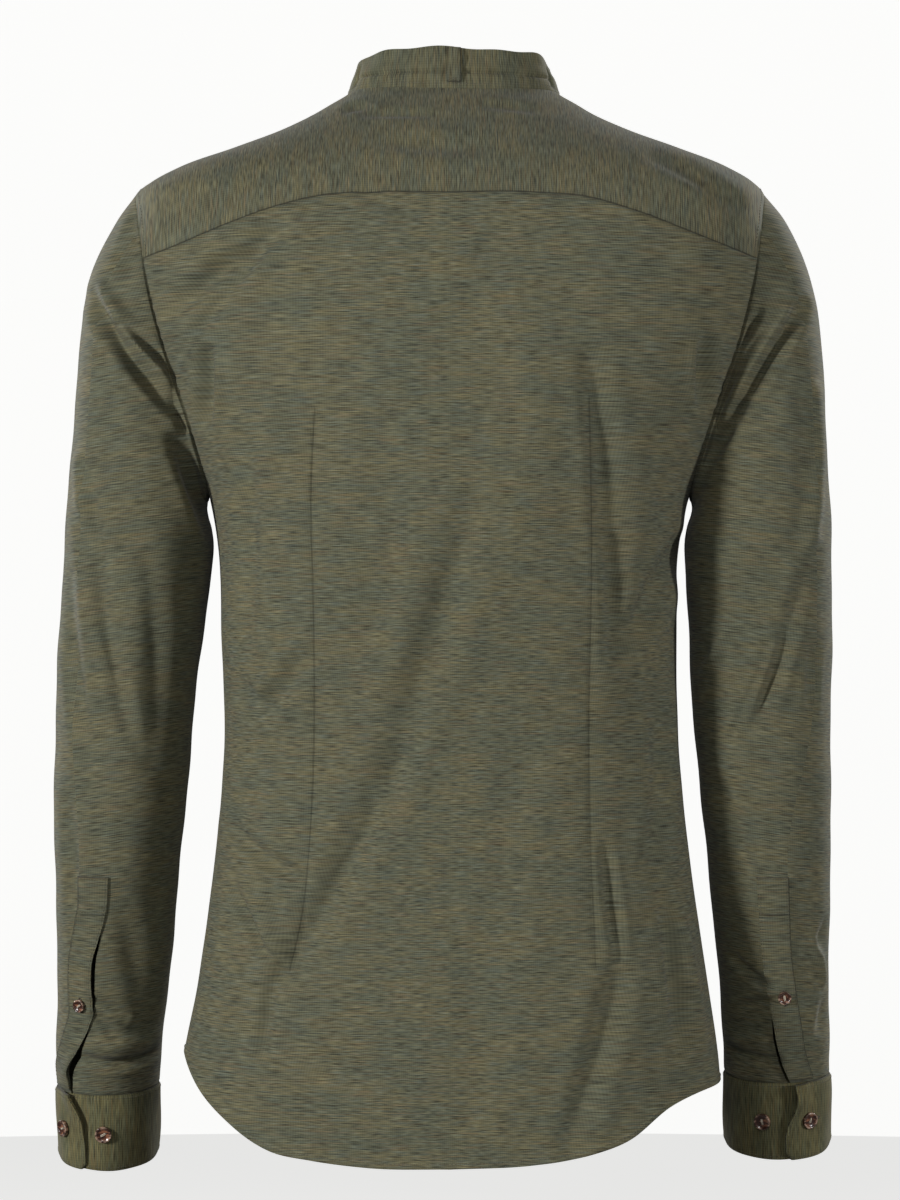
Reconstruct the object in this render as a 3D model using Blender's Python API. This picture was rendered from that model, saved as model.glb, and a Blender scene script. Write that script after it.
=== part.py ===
"""Band collar shirt, hollow and filled out as when it is worn, with hanging sleeves and buttoned cuffs.

Units are metres and +Z is up. The front faces -Y and the wearer's left is +X. The origin is on the
shoulders, midway between the two sides of the neck seam, where a wearer carries the shirt.
"""

import math
from collections import namedtuple

import bpy
import numpy as np

# ---- driving sizes ----
WALL = 0.0012  # one layer of cloth
BAND_WALL = 0.0022  # collar band and cuffs: two layers and an interlining
GAP = 0.0003  # between two pieces that meet
SEAM_TRIM = GAP * 0.62  # what each of two meeting edges gives up

# Sections of the body from the neck down to the hem: height, half widths, depths and squareness.
Section = namedtuple("Section", "z left right back front square")
BODY = (
    Section(0.0100, 0.0600, 0.0640, 0.0390, 0.0220, 2.00),
    Section(0.0010, 0.0712, 0.0760, 0.0460, 0.0320, 2.00),
    Section(-0.0055, 0.0820, 0.0872, 0.0550, 0.0380, 2.05),
    Section(-0.0124, 0.0935, 0.0985, 0.0635, 0.0425, 2.10),
    Section(-0.0228, 0.1143, 0.1210, 0.0760, 0.0480, 2.15),
    Section(-0.0366, 0.1502, 0.1580, 0.0905, 0.0545, 2.20),
    Section(-0.0504, 0.1882, 0.1932, 0.1030, 0.0610, 2.20),
    Section(-0.0600, 0.2062, 0.2088, 0.1095, 0.0655, 2.25),
    Section(-0.0676, 0.2157, 0.2160, 0.1140, 0.0695, 2.30),
    Section(-0.0850, 0.2200, 0.2200, 0.1210, 0.0785, 2.35),
    Section(-0.1150, 0.2195, 0.2200, 0.1280, 0.0910, 2.40),
    Section(-0.1450, 0.2145, 0.2150, 0.1315, 0.1050, 2.40),
    Section(-0.1850, 0.2015, 0.2020, 0.1330, 0.1190, 2.45),
    Section(-0.2350, 0.1820, 0.1815, 0.1325, 0.1300, 2.45),
    Section(-0.2800, 0.1645, 0.1635, 0.1305, 0.1350, 2.50),
    Section(-0.3125, 0.1592, 0.1575, 0.1280, 0.1355, 2.50),
    Section(-0.3680, 0.1575, 0.1562, 0.1220, 0.1330, 2.45),
    Section(-0.4505, 0.1555, 0.1575, 0.1120, 0.1250, 2.40),
    Section(-0.5335, 0.1630, 0.1663, 0.1110, 0.1210, 2.40),
    Section(-0.6160, 0.1746, 0.1785, 0.1150, 0.1210, 2.40),
    Section(-0.6575, 0.1830, 0.1845, 0.1170, 0.1220, 2.40),
    Section(-0.7600, 0.1890, 0.1880, 0.1190, 0.1240, 2.40),
)

# Armholes: a rounded loop on the body's side.
ARM_TOP = -0.0676
ARM_FOOT = -0.2780
ARM_BACK = 0.0580
ARM_FRONT = -0.0620
ARM_ROUND = 2.6
SEAM_STAND = 0.0019  # the sleeve stands out from the body where it turns under the arm

# Seams of the yoke.
YOKE_Z = -0.0756  # back seam at the centre
YOKE_FLAT = 0.078  # it runs level this far out, then falls
YOKE_END_Z = -0.1150
YOKE_FALL = 1.30
FRONT_SEAM_TURN = -44  # place on the armhole loop, degrees from its top

# Neck seam in plan, and the collar band on it.
NECK_HALF = 0.0740
NECK_MIDDLE_X = -0.0026  # the neck stands a little to the right of the body's middle
NECK_MIDDLE_Y = -0.0095
NECK_BACK = 0.0555
NECK_FRONT = 0.0545
NECK_CORNER = 118  # degrees from the centre back, where the yoke's front seam meets the neck
BAND_LAP = 0.0128  # each end of the band passes the centre front by this much
BAND_STEP = 0.0013  # half the distance between the lapped ends' middles
BAND_INSET = 0.0002  # the band stands this far inside the neck seam
Band = namedtuple("Band", "turn height lean")
BAND = (
    Band(0, 0.0285, 0.0030),
    Band(90, 0.0250, 0.0070),
    Band(180, 0.0270, 0.0015),
)

# Hem: what part of its rise to the side seam it has reached, by how far out it is.
HEM_BACK_Z = -0.7255
HEM_FRONT_Z = -0.7080
HEM_LEFT_Z = -0.6575
HEM_RIGHT_Z = -0.6770
Hem = namedtuple("Hem", "across left right")
HEM = (
    Hem(0.00, 0.00, 0.00),
    Hem(0.30, 0.01, 0.05),
    Hem(0.50, 0.07, 0.17),
    Hem(0.65, 0.15, 0.37),
    Hem(0.79, 0.38, 0.77),
    Hem(0.90, 0.64, 0.93),
    Hem(1.00, 1.00, 1.00),
)

# Front opening, left over right.
FRONT_LAP = 0.016  # each front passes the centre by this much
PLACKET_WIDTH = 0.032
LAP_STEP = 0.0010  # half the distance between the lapped fronts' middles
LAP_FADE = (0.034, 0.060)  # the fronts step apart inside the first and not beyond the second

# Rings of the sleeves under the armhole loop: outer and inner point, middle and half depth in Y, and
# how much lower the back of the ring is than its middle.
Ring = namedtuple("Ring", "outer_x outer_z inner_x inner_z middle deep drop")
SLEEVES = {
    "left": (
        Ring(0.2310, -0.0890, 0.1675, -0.2825, 0.0000, 0.0605, 0.0000),
        Ring(0.2480, -0.1250, 0.1667, -0.2895, 0.0000, 0.0625, 0.0000),
        Ring(0.2553, -0.1745, 0.1640, -0.2990, 0.0000, 0.0640, 0.0000),
        Ring(0.2595, -0.2297, 0.1626, -0.3125, 0.0000, 0.0630, 0.0000),
        Ring(0.2640, -0.2880, 0.1657, -0.3350, 0.0000, 0.0615, 0.0000),
        Ring(0.2675, -0.3400, 0.1690, -0.3620, -0.0010, 0.0595, 0.0005),
        Ring(0.2707, -0.3950, 0.1740, -0.4020, -0.0030, 0.0575, 0.0010),
        Ring(0.2737, -0.4600, 0.1800, -0.4600, -0.0060, 0.0550, 0.0020),
        Ring(0.2737, -0.5150, 0.1855, -0.5150, -0.0120, 0.0525, 0.0030),
        Ring(0.2728, -0.5760, 0.1919, -0.5760, -0.0200, 0.0490, 0.0040),
        Ring(0.2728, -0.6230, 0.1970, -0.6230, -0.0280, 0.0465, 0.0045),
        Ring(0.2740, -0.6600, 0.2010, -0.6585, -0.0360, 0.0440, 0.0050),
        Ring(0.2735, -0.6845, 0.2030, -0.6830, -0.0410, 0.0405, 0.0050),
    ),
    "right": (
        Ring(0.2325, -0.0890, 0.1670, -0.2825, 0.0000, 0.0605, 0.0000),
        Ring(0.2478, -0.1250, 0.1660, -0.2895, 0.0000, 0.0625, 0.0000),
        Ring(0.2567, -0.1745, 0.1630, -0.2990, 0.0000, 0.0640, 0.0000),
        Ring(0.2588, -0.2297, 0.1612, -0.3125, 0.0000, 0.0630, 0.0000),
        Ring(0.2624, -0.2880, 0.1627, -0.3350, 0.0000, 0.0615, 0.0000),
        Ring(0.2631, -0.3400, 0.1645, -0.3620, -0.0010, 0.0595, 0.0005),
        Ring(0.2632, -0.3950, 0.1668, -0.4020, -0.0030, 0.0575, 0.0010),
        Ring(0.2634, -0.4600, 0.1708, -0.4600, -0.0060, 0.0550, 0.0020),
        Ring(0.2634, -0.5150, 0.1768, -0.5150, -0.0120, 0.0525, 0.0030),
        Ring(0.2633, -0.5700, 0.1832, -0.5700, -0.0200, 0.0490, 0.0040),
        Ring(0.2631, -0.6160, 0.1878, -0.6160, -0.0280, 0.0465, 0.0045),
        Ring(0.2641, -0.6530, 0.1903, -0.6510, -0.0360, 0.0440, 0.0050),
        Ring(0.2649, -0.6755, 0.1915, -0.6750, -0.0410, 0.0405, 0.0050),
    ),
}
CUFFS = {
    "left": (
        Ring(0.2742, -0.6850, 0.2022, -0.6835, -0.0410, 0.0412, 0.0050),
        Ring(0.2748, -0.7085, 0.2030, -0.7085, -0.0475, 0.0415, 0.0075),
        Ring(0.2748, -0.7320, 0.2045, -0.7330, -0.0540, 0.0415, 0.0105),
    ),
    "right": (
        Ring(0.2656, -0.6760, 0.1908, -0.6755, -0.0410, 0.0412, 0.0050),
        Ring(0.2667, -0.7000, 0.1915, -0.7005, -0.0475, 0.0415, 0.0075),
        Ring(0.2676, -0.7240, 0.1925, -0.7255, -0.0540, 0.0415, 0.0105),
    ),
}

# Sleeve plackets: the free edge by height, in degrees on the sleeve from its outer side to the back.
Edge = namedtuple("Edge", "z left right")
PLACKET_EDGE = (
    Edge(-0.5380, 83, 101),
    Edge(-0.5700, 75, 100),
    Edge(-0.6000, 69, 97),
    Edge(-0.6300, 65, 92),
    Edge(-0.6580, 54, 84),
    Edge(-0.6850, 47, 75),
)
SLEEVE_PLACKET_WIDTH = 0.0215
FOREARM = 0.0425  # radius that turns the sleeve's widths into angles
SLIT_WIDTH = 0.0040
CUFF_EDGE = {"left": (47, 69), "right": (74, 83)}  # overlapping end at the seam and at the bottom
CUFF_LAP = 36  # degrees that the cuff passes under itself
CUFF_STEP = 0.0013

# Largest folds, in the plane seen from behind: ends, half width and depth (a ridge is negative).
Fold = namedtuple("Fold", "piece x0 z0 x1 z1 width depth")
FOLDS = (
    Fold("back", 0.1210, -0.1000, 0.1830, -0.1430, 0.0100, 0.0032),
    Fold("back", 0.1310, -0.1260, 0.1680, -0.1640, 0.0085, 0.0030),
    Fold("back", 0.1640, -0.1820, 0.1640, -0.2200, 0.0070, 0.0035),
    Fold("back", -0.1720, -0.1740, -0.1680, -0.2100, 0.0075, 0.0030),
    Fold("back", -0.0980, -0.2100, -0.1080, -0.3500, 0.0200, 0.0030),
    Fold("back", -0.1480, -0.3150, -0.1110, -0.3780, 0.0130, 0.0028),
    Fold("back", -0.0126, -0.2850, 0.0370, -0.4600, 0.0160, 0.0024),
    Fold("back", 0.0370, -0.4600, 0.1080, -0.5940, 0.0170, 0.0032),
    Fold("back", 0.1440, -0.5020, 0.1000, -0.5300, 0.0120, 0.0026),
    Fold("back", 0.1300, -0.4150, 0.1010, -0.3900, 0.0120, 0.0018),
    Fold("back", -0.1040, -0.5150, -0.1140, -0.5870, 0.0120, 0.0024),
    Fold("back", 0.1180, -0.6000, 0.1260, -0.6500, 0.0150, -0.0022),
    Fold("back", -0.1130, -0.6000, -0.0800, -0.7100, 0.0150, 0.0022),
    Fold("front", 0.1500, -0.3100, 0.1000, -0.3750, 0.0160, 0.0026),
    Fold("front", -0.1500, -0.3000, -0.0900, -0.3800, 0.0160, 0.0030),
    Fold("front", 0.0700, -0.4400, 0.1150, -0.5900, 0.0170, 0.0028),
    Fold("front", -0.0700, -0.4700, -0.1100, -0.6200, 0.0170, 0.0026),
    Fold("left", 0.2200, -0.1620, 0.1880, -0.1930, 0.0070, 0.0050),
    Fold("left", 0.2430, -0.1420, 0.1790, -0.2340, 0.0075, 0.0055),
    Fold("left", 0.1860, -0.2350, 0.1700, -0.2950, 0.0090, 0.0050),
    Fold("left", 0.2560, -0.2540, 0.2290, -0.3950, 0.0100, 0.0030),
    Fold("left", 0.2350, -0.4350, 0.2150, -0.5000, 0.0110, 0.0022),
    Fold("left", 0.2500, -0.6560, 0.2150, -0.6620, 0.0070, 0.0035),
    Fold("right", -0.2120, -0.1540, -0.1920, -0.1790, 0.0070, 0.0050),
    Fold("right", -0.2380, -0.1500, -0.1780, -0.2540, 0.0080, 0.0055),
    Fold("right", -0.2480, -0.2600, -0.2170, -0.3830, 0.0110, 0.0035),
    Fold("right", -0.2300, -0.3600, -0.1980, -0.4900, 0.0090, 0.0026),
    Fold("right", -0.2500, -0.5700, -0.2560, -0.6080, 0.0080, -0.0020),
    Fold("right", -0.1980, -0.5900, -0.2200, -0.6050, 0.0080, 0.0022),
)
FOLD_FADE = 0.022  # folds die out this far from a seam of the armhole

CHART_RADIUS = 0.16  # turns a turn round the body into a length
EVENING_ROUNDS = 400

# Grids: how many cells each piece has.
ARM_CELLS = {"yoke": 7, "back": 8, "front": 8}
SIDE_CELLS = 12
FRONT_SEAM_CELLS = 4
NECK_BACK_CELLS = 14
NECK_FRONT_CELLS = 5
BAND_CELLS = 2
SLEEVE_CELLS = 20
CUFF_ROWS = 3
CUFF_CELLS = 22
BUTTON_SIDES = 10

# Buttons.
BUTTON = 0.0115
SMALL_BUTTON = 0.0090
BUTTON_HEIGHT = 0.0024
FRONT_BUTTON_TOP = -0.118
FRONT_BUTTON_STEP = 0.0860
FRONT_BUTTONS = 6
CUFF_BUTTONS = (-18, 31)  # degrees from the overlapping edge: the fastened one and the spare one
PLACKET_BUTTON_Z = {"left": -0.6255, "right": -0.6200}

# Hanger loop on the back of the band.
LOOP_WIDTH = 0.0095
LOOP_LIFT = 0.0016

# Colours, as linear values.
OLIVE = (0.092, 0.094, 0.061)
OLIVE_DARK = (0.084, 0.083, 0.054)
HORN = (0.085, 0.038, 0.022)


# ---- smooth curves through the tables ----
def smooth(knots, values, at):
    """Value at each of at, on a smooth curve through rows of values at the knots."""
    knots = np.asarray(knots, float)
    values = np.asarray(values, float)
    slopes = np.gradient(values, knots, axis=0)
    at = np.clip(np.asarray(at, float), knots[0], knots[-1])
    low = np.clip(np.searchsorted(knots, at, side="right") - 1, 0, len(knots) - 2)
    span = knots[low + 1] - knots[low]
    t = (at - knots[low]) / span
    extra = values.ndim - 1
    t = t.reshape(t.shape + (1,) * extra)
    span = span.reshape(span.shape + (1,) * extra)
    return (
        values[low] * (1 + 2 * t) * (1 - t) ** 2
        + values[low + 1] * t * t * (3 - 2 * t)
        + slopes[low] * span * t * (1 - t) ** 2
        - slopes[low + 1] * span * t * t * (1 - t)
    )


def column(rows, name):
    return np.array([getattr(row, name) for row in rows], float)


def ease(low, high, value):
    """0 below low, 1 above high and smooth between them."""
    t = np.clip((np.asarray(value, float) - low) / (high - low), 0, 1)
    return t * t * (3 - 2 * t)


BODY_Z = column(BODY, "z")
BODY_DOWN = np.concatenate(
    ([0], np.cumsum(np.hypot(np.diff(BODY_Z), np.diff(column(BODY, "left")))))
)
BODY_TABLE = np.array(BODY, float)
FINE_DOWN = np.linspace(0, BODY_DOWN[-1], 1500)
FINE_Z = smooth(BODY_DOWN, BODY_Z, FINE_DOWN)


def down_at(z):
    """Distance down the side of the body at a height."""
    return np.interp(-np.asarray(z, float), -FINE_Z, FINE_DOWN)


# ---- the body's surface ----
def body_base(turn, down):
    """Points of the body without folds. turn is in radians from the centre back towards the left."""
    z, left, right, back, front, square = np.moveaxis(smooth(BODY_DOWN, BODY_TABLE, down), -1, 0)
    sine, cosine = np.sin(turn), np.cos(turn)
    half = np.where(sine >= 0, left, right)
    deep = np.where(cosine >= 0, back, front)
    reach = (np.abs(sine / half) ** square + np.abs(cosine / deep) ** square) ** (-1 / square)
    return np.stack([reach * sine, reach * cosine, z], -1)


def unit(vectors):
    return vectors / np.linalg.norm(vectors, axis=-1, keepdims=True)


def body_normal(turn, down):
    step = 1e-4
    across = body_base(turn + step, down) - body_base(turn - step, down)
    along = body_base(turn, down + step) - body_base(turn, down - step)
    return unit(np.cross(across, along))


def side_x(side, y, z):
    """x of the body's surface at a depth y and a height z."""
    _, left, right, back, front, square = np.moveaxis(smooth(BODY_DOWN, BODY_TABLE, down_at(z)), -1, 0)
    half = left if side == "left" else right
    deep = np.where(np.asarray(y) >= 0, back, front)
    x = half * (1 - np.abs(y / deep) ** square) ** (1 / square)
    return x if side == "left" else -x


def arm_loop(side, beta):
    """Armhole at beta radians from its top, towards the back."""
    cosine, sine = np.cos(beta), np.sin(beta)
    reach = (np.abs(cosine) ** ARM_ROUND + np.abs(sine) ** ARM_ROUND) ** (-1 / ARM_ROUND)
    z = (ARM_TOP + ARM_FOOT) / 2 + (ARM_TOP - ARM_FOOT) / 2 * cosine * reach
    y = np.where(sine >= 0, ARM_BACK, -ARM_FRONT) * sine * reach
    return np.stack([side_x(side, y, z), y, z], -1)


def to_chart(points):
    """(turn, down) of points on the body, from their place and height."""
    return np.stack([np.arctan2(points[..., 0], points[..., 1]), down_at(points[..., 2])], -1)


def plan_to_chart(x, y):
    """(turn, down) of the body's point over a place in plan, near the neck and the shoulders."""
    x, y = np.broadcast_arrays(np.asarray(x, float), np.asarray(y, float))
    low, high = np.zeros(x.shape), np.full(x.shape, float(down_at(-0.2)))
    turn = np.arctan2(x, y)
    wanted = np.hypot(x, y)
    for _ in range(40):
        middle = (low + high) / 2
        found = np.hypot(*np.moveaxis(body_base(turn, middle)[..., :2], -1, 0))
        low = np.where(found < wanted, middle, low)
        high = np.where(found < wanted, high, middle)
    return np.stack([turn, (low + high) / 2], -1)


def neck_plan(turn):
    y = np.where(np.cos(turn) >= 0, NECK_BACK, NECK_FRONT) * np.cos(turn) + NECK_MIDDLE_Y
    return NECK_HALF * np.sin(turn) + NECK_MIDDLE_X, y


def fold_depth(piece, x, z):
    """How far the folds of a piece sink its surface, at places seen from behind or from the front."""
    total = np.zeros(np.shape(x))
    for fold in FOLDS:
        if fold.piece != piece:
            continue
        run = np.array([fold.x1 - fold.x0, fold.z1 - fold.z0])
        length = np.hypot(*run)
        along = ((x - fold.x0) * run[0] + (z - fold.z0) * run[1]) / length**2
        beside = ((x - fold.x0) * run[1] - (z - fold.z0) * run[0]) / length
        fade = np.exp(-((np.clip(np.abs(along - 0.5) - 0.35, 0, None) / 0.16) ** 2))
        total += fold.depth * fade * np.exp(-((beside / fold.width) ** 2))
    return total


def clear_of_armhole(points):
    """0 on the armhole seams and 1 away from them."""
    weight = np.ones(points.shape[:-1])
    for side in ("left", "right"):
        loop = arm_loop(side, np.linspace(0, 2 * math.pi, 73))
        nearest = np.full(points.shape[:-1], 9.0)
        for place in loop:
            nearest = np.minimum(nearest, np.linalg.norm(points - place, axis=-1))
        weight = np.minimum(weight, ease(0.002, FOLD_FADE, nearest))
    return weight


def body(turn, down):
    """(points, normals) of the body with its folds."""
    turn, down = np.broadcast_arrays(np.asarray(turn, float), np.asarray(down, float))
    points = body_base(turn, down)
    normals = body_normal(turn, down)
    x, y, z = np.moveaxis(points, -1, 0)
    back = fold_depth("back", x, z) * ease(0.0, 0.035, y)
    front = fold_depth("front", x, z) * ease(0.0, 0.035, -y) * ease(0.030, 0.050, np.abs(x))
    return points - normals * ((back + front) * clear_of_armhole(points))[..., None], normals


# ---- seams of the body, as places in its chart ----
def back_seam_z(x):
    fall = np.clip((np.abs(x) - YOKE_FLAT) / (0.2075 - YOKE_FLAT), 0, 1.2)
    return YOKE_Z + (YOKE_END_Z - YOKE_Z) * fall**YOKE_FALL


def seam_turn():
    """Place of the yoke's back seam on the armhole loop, in radians from its top."""
    turns = np.linspace(0.2, 2.0, 400)
    heights = arm_loop("left", turns)[:, 2]
    return float(np.interp(-YOKE_END_Z, -heights, turns))


BACK_SEAM_TURN = seam_turn()
ARM_STOPS = {
    "yoke": (math.radians(FRONT_SEAM_TURN), BACK_SEAM_TURN),
    "back": (BACK_SEAM_TURN, math.pi),
    "front": (math.radians(FRONT_SEAM_TURN), -math.pi),
}
SIGN = {"left": 1, "right": -1}


def arm_turns(part):
    return np.linspace(*ARM_STOPS[part], ARM_CELLS[part] + 1)


def side_heights(side):
    foot = HEM_LEFT_Z if side == "left" else HEM_RIGHT_Z
    return np.linspace(ARM_FOOT, foot, SIDE_CELLS + 1)[1:]


def outer_edge(side, part):
    """Chart places down the armhole and the side seam of the back or a front."""
    arm = to_chart(arm_loop(side, arm_turns(part)))
    heights = side_heights(side)
    seam = np.stack([np.full(heights.shape, SIGN[side] * math.pi / 2), down_at(heights)], -1)
    return np.concatenate([arm, seam])


def back_seam(cells):
    """Chart places along the yoke's back seam, from right to left."""
    ends = [to_chart(arm_loop(side, BACK_SEAM_TURN))[0] for side in ("right", "left")]
    turn = np.linspace(ends[0], ends[1], cells + 1)
    down = np.full(turn.shape, float(down_at(YOKE_Z)))
    for _ in range(12):
        down = down_at(back_seam_z(body_base(turn, down)[:, 0]))
    return np.stack([turn, down], -1)


def front_seam(side):
    """Chart places along the yoke's front seam, from the armhole to the neck."""
    start = arm_loop(side, math.radians(FRONT_SEAM_TURN))
    corner = neck_plan(SIGN[side] * math.radians(NECK_CORNER))
    t = np.linspace(0, 1, FRONT_SEAM_CELLS + 1)
    seam = plan_to_chart(start[0] + (corner[0] - start[0]) * t, start[1] + (corner[1] - start[1]) * t)
    seam[0] = to_chart(start)
    return seam


def neck_seam(turns):
    seam = plan_to_chart(*neck_plan(turns))
    seam[..., 0] += 2 * math.pi * np.round((turns - seam[..., 0]) / (2 * math.pi))
    return seam


def lapped_turn(x, down, side):
    """turn of the body's front point at x, on the far side of the half turn for a lapped edge."""
    turn = np.full(np.shape(down), math.pi)
    for _ in range(12):
        y = body_base(turn, down)[..., 1]
        turn = np.arctan2(x, -y) + math.pi
    return SIGN[side] * turn


def hem_z(side, turn, back):
    """Height of the hem at a turn."""
    place = body_base(turn, np.full(np.shape(turn), float(down_at(HEM_BACK_Z + 0.03))))
    across = np.clip(np.abs(place[..., 0]) / float(np.abs(side_x(side, 0.0, HEM_BACK_Z + 0.03))), 0, 1)
    share = smooth(column(HEM, "across"), column(HEM, side), across)
    middle = HEM_BACK_Z if back else HEM_FRONT_Z
    ends = HEM_LEFT_Z if side == "left" else HEM_RIGHT_Z
    return middle + (ends - middle) * share


def coons(top, bottom, left, right):
    """Chart places inside four edges. top and bottom run left to right, left and right run down."""
    s = np.linspace(0, 1, len(top))[None, :, None]
    t = np.linspace(0, 1, len(left))[:, None, None]
    ruled = (1 - t) * top[None] + t * bottom[None] + (1 - s) * left[:, None] + s * right[:, None]
    corners = (
        (1 - s) * (1 - t) * top[0]
        + s * (1 - t) * top[-1]
        + (1 - s) * t * bottom[0]
        + s * t * bottom[-1]
    )
    return evened(ruled - corners)


def evened(chart):
    """Moves the inner places of a grid until its lines run evenly and no cell folds over its neighbour."""
    at = chart * (CHART_RADIUS, 1)
    for _ in range(EVENING_ROUNDS):
        row = (at[1:-1, 2:] - at[1:-1, :-2]) / 2
        line = (at[2:, 1:-1] - at[:-2, 1:-1]) / 2
        a = np.sum(line * line, -1, keepdims=True)
        b = np.sum(row * line, -1, keepdims=True)
        c = np.sum(row * row, -1, keepdims=True)
        slant = at[2:, 2:] - at[2:, :-2] - at[:-2, 2:] + at[:-2, :-2]
        pull = a * (at[1:-1, 2:] + at[1:-1, :-2]) + c * (at[2:, 1:-1] + at[:-2, 1:-1]) - b * slant / 2
        at[1:-1, 1:-1] = pull / (2 * (a + c))
    return at / (CHART_RADIUS, 1)


# ---- sleeves ----
def ring_points(side, row, beta):
    """A sleeve ring: beta is 0 at the outer point and a quarter turn at the back."""
    outer = np.array([row.outer_x, 0, row.outer_z])
    inner = np.array([row.inner_x, 0, row.inner_z])
    middle = (outer + inner) / 2 + np.array([0, row.middle, 0])
    half = (outer - inner) / 2
    square = 2 + (ARM_ROUND - 2) * float(ease(-0.42, -0.20, row.inner_z))
    cosine, sine = np.cos(beta), np.sin(beta)
    reach = ((np.abs(cosine) ** square + np.abs(sine) ** square) ** (-1 / square))[..., None]
    points = middle + cosine[..., None] * reach * half
    points = points + sine[..., None] * reach * np.array([0, row.deep, -row.drop])
    points[..., 0] *= SIGN[side]
    return points


def tube(side, rows, beta, v, first=None):
    """Points on a tube through rows of rings, at beta and at v rings down."""
    beta, v = np.broadcast_arrays(np.asarray(beta, float), np.asarray(v, float))
    rings = [] if first is None else [first(side, beta)]
    rings += [ring_points(side, row, beta) for row in rows]
    stack = np.array(rings)
    slopes = np.gradient(stack, axis=0)
    v = np.clip(v, 0, len(stack) - 1)
    low = np.clip(v.astype(int), 0, len(stack) - 2)
    t = (v - low)[..., None]

    def pick(values, index):
        return np.take_along_axis(values, index[None, ..., None], 0)[0]

    return (
        pick(stack, low) * (1 + 2 * t) * (1 - t) ** 2
        + pick(stack, low + 1) * t * t * (3 - 2 * t)
        + pick(slopes, low) * t * (1 - t) ** 2
        - pick(slopes, low + 1) * t * t * (1 - t)
    )


def tube_normal(side, rows, beta, v, first=None):
    step = 1e-3
    across = tube(side, rows, beta + step, v, first) - tube(side, rows, beta - step, v, first)
    along = tube(side, rows, beta, v + step, first) - tube(side, rows, beta, v - step, first)
    return unit(np.cross(along, across)) * SIGN[side]


def sleeve(side, beta, v):
    """(points, normals) of a sleeve with its folds; v runs from 0 at the armhole."""
    beta, v = np.broadcast_arrays(np.asarray(beta, float), np.asarray(v, float))
    rows = SLEEVES[side]
    points = tube(side, rows, beta, v, arm_loop)
    normals = tube_normal(side, rows, beta, v, arm_loop)
    at_seam = to_chart(arm_loop(side, beta))
    seam_normal = body_normal(at_seam[..., 0], at_seam[..., 1])
    agree = ease(0.45, 0.95, np.sum(normals * seam_normal, -1))
    near = 1 - ease(0, 1, v)
    points = points + seam_normal * (SEAM_STAND * (1 - agree) * near)[..., None]
    normals = unit(normals + (seam_normal - normals) * (agree * near)[..., None])
    x, y, z = np.moveaxis(points, -1, 0)
    depth = fold_depth(side, x, z) * ease(-0.01, 0.03, y + 0.01)
    depth = depth * ease(0.3, 2.0, v) * (1 - ease(len(rows) - 1.2, len(rows) - 0.1, v))
    return points - normals * depth[..., None], normals


def placket_edge(side, z):
    rows = PLACKET_EDGE[::-1]
    return np.radians(smooth(column(rows, "z"), column(rows, side), z))


def sleeve_turns(side):
    """Ring places of a sleeve's columns, by row: even at the armhole, along the placket at the cuff."""
    front = arm_turns("front")[::-1] + 2 * math.pi
    arm = np.concatenate([arm_turns("yoke")[:-1], arm_turns("back")[:-1], front[:-1]])
    v = np.linspace(0, len(SLEEVES[side]), SLEEVE_CELLS + 1)
    heights = tube(side, SLEEVES[side], np.full(v.shape, math.pi / 2), v, arm_loop)[:, 2]
    count = len(arm)
    pivot = int(np.argmin(np.abs(arm - math.radians(78))))
    edge = placket_edge(side, heights)[:, None]
    slit = SLIT_WIDTH / FOREARM
    width = SLEEVE_PLACKET_WIDTH / FOREARM
    special = np.concatenate([edge - width, edge - width / 2, edge - slit * 0.2, edge + slit * 0.8], 1)
    rest = count - 4
    t = (np.arange(rest) + 1) / (rest + 1)
    around = special[:, 3:4] + (special[:, 0:1] + 2 * math.pi - special[:, 3:4]) * t
    lower = np.concatenate([special, around], 1)
    upper = np.concatenate([arm[pivot - 2 :], arm[: pivot - 2] + 2 * math.pi])[None, :]
    blend = ease(0.40, 0.53, -heights)[:, None]
    return upper + (lower - upper) * blend, v, heights


# ---- making walls ----
def material(name, colour, roughness):
    made = bpy.data.materials.new(name)
    made.use_nodes = True
    shader = made.node_tree.nodes["Principled BSDF"]
    shader.inputs["Base Color"].default_value = (*colour, 1)
    shader.inputs["Roughness"].default_value = roughness
    shader.inputs["Metallic"].default_value = 0.0
    return made


def add_object(name, points, faces, colour, roughness=0.85):
    mesh = bpy.data.meshes.new(name)
    mesh.from_pydata([tuple(map(float, p)) for p in points], [], faces)
    mesh.materials.append(material(name, colour, roughness))
    mesh.shade_smooth()
    mesh.set_sharp_from_angle(angle=math.radians(50))
    made = bpy.data.objects.new(name, mesh)
    bpy.context.scene.collection.objects.link(made)
    return made


def trim(points, edges):
    """Pulls the named edges of a grid inwards, so that pieces keep a gap at a seam."""
    out = points.copy()
    pairs = {
        "top": (np.s_[0], np.s_[1]),
        "bottom": (np.s_[-1], np.s_[-2]),
        "start": (np.s_[:, 0], np.s_[:, 1]),
        "end": (np.s_[:, -1], np.s_[:, -2]),
    }
    for edge in edges:
        at, inside = pairs[edge]
        out[at] = out[at] + unit(points[inside] - points[at]) * SEAM_TRIM
    return out


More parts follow.
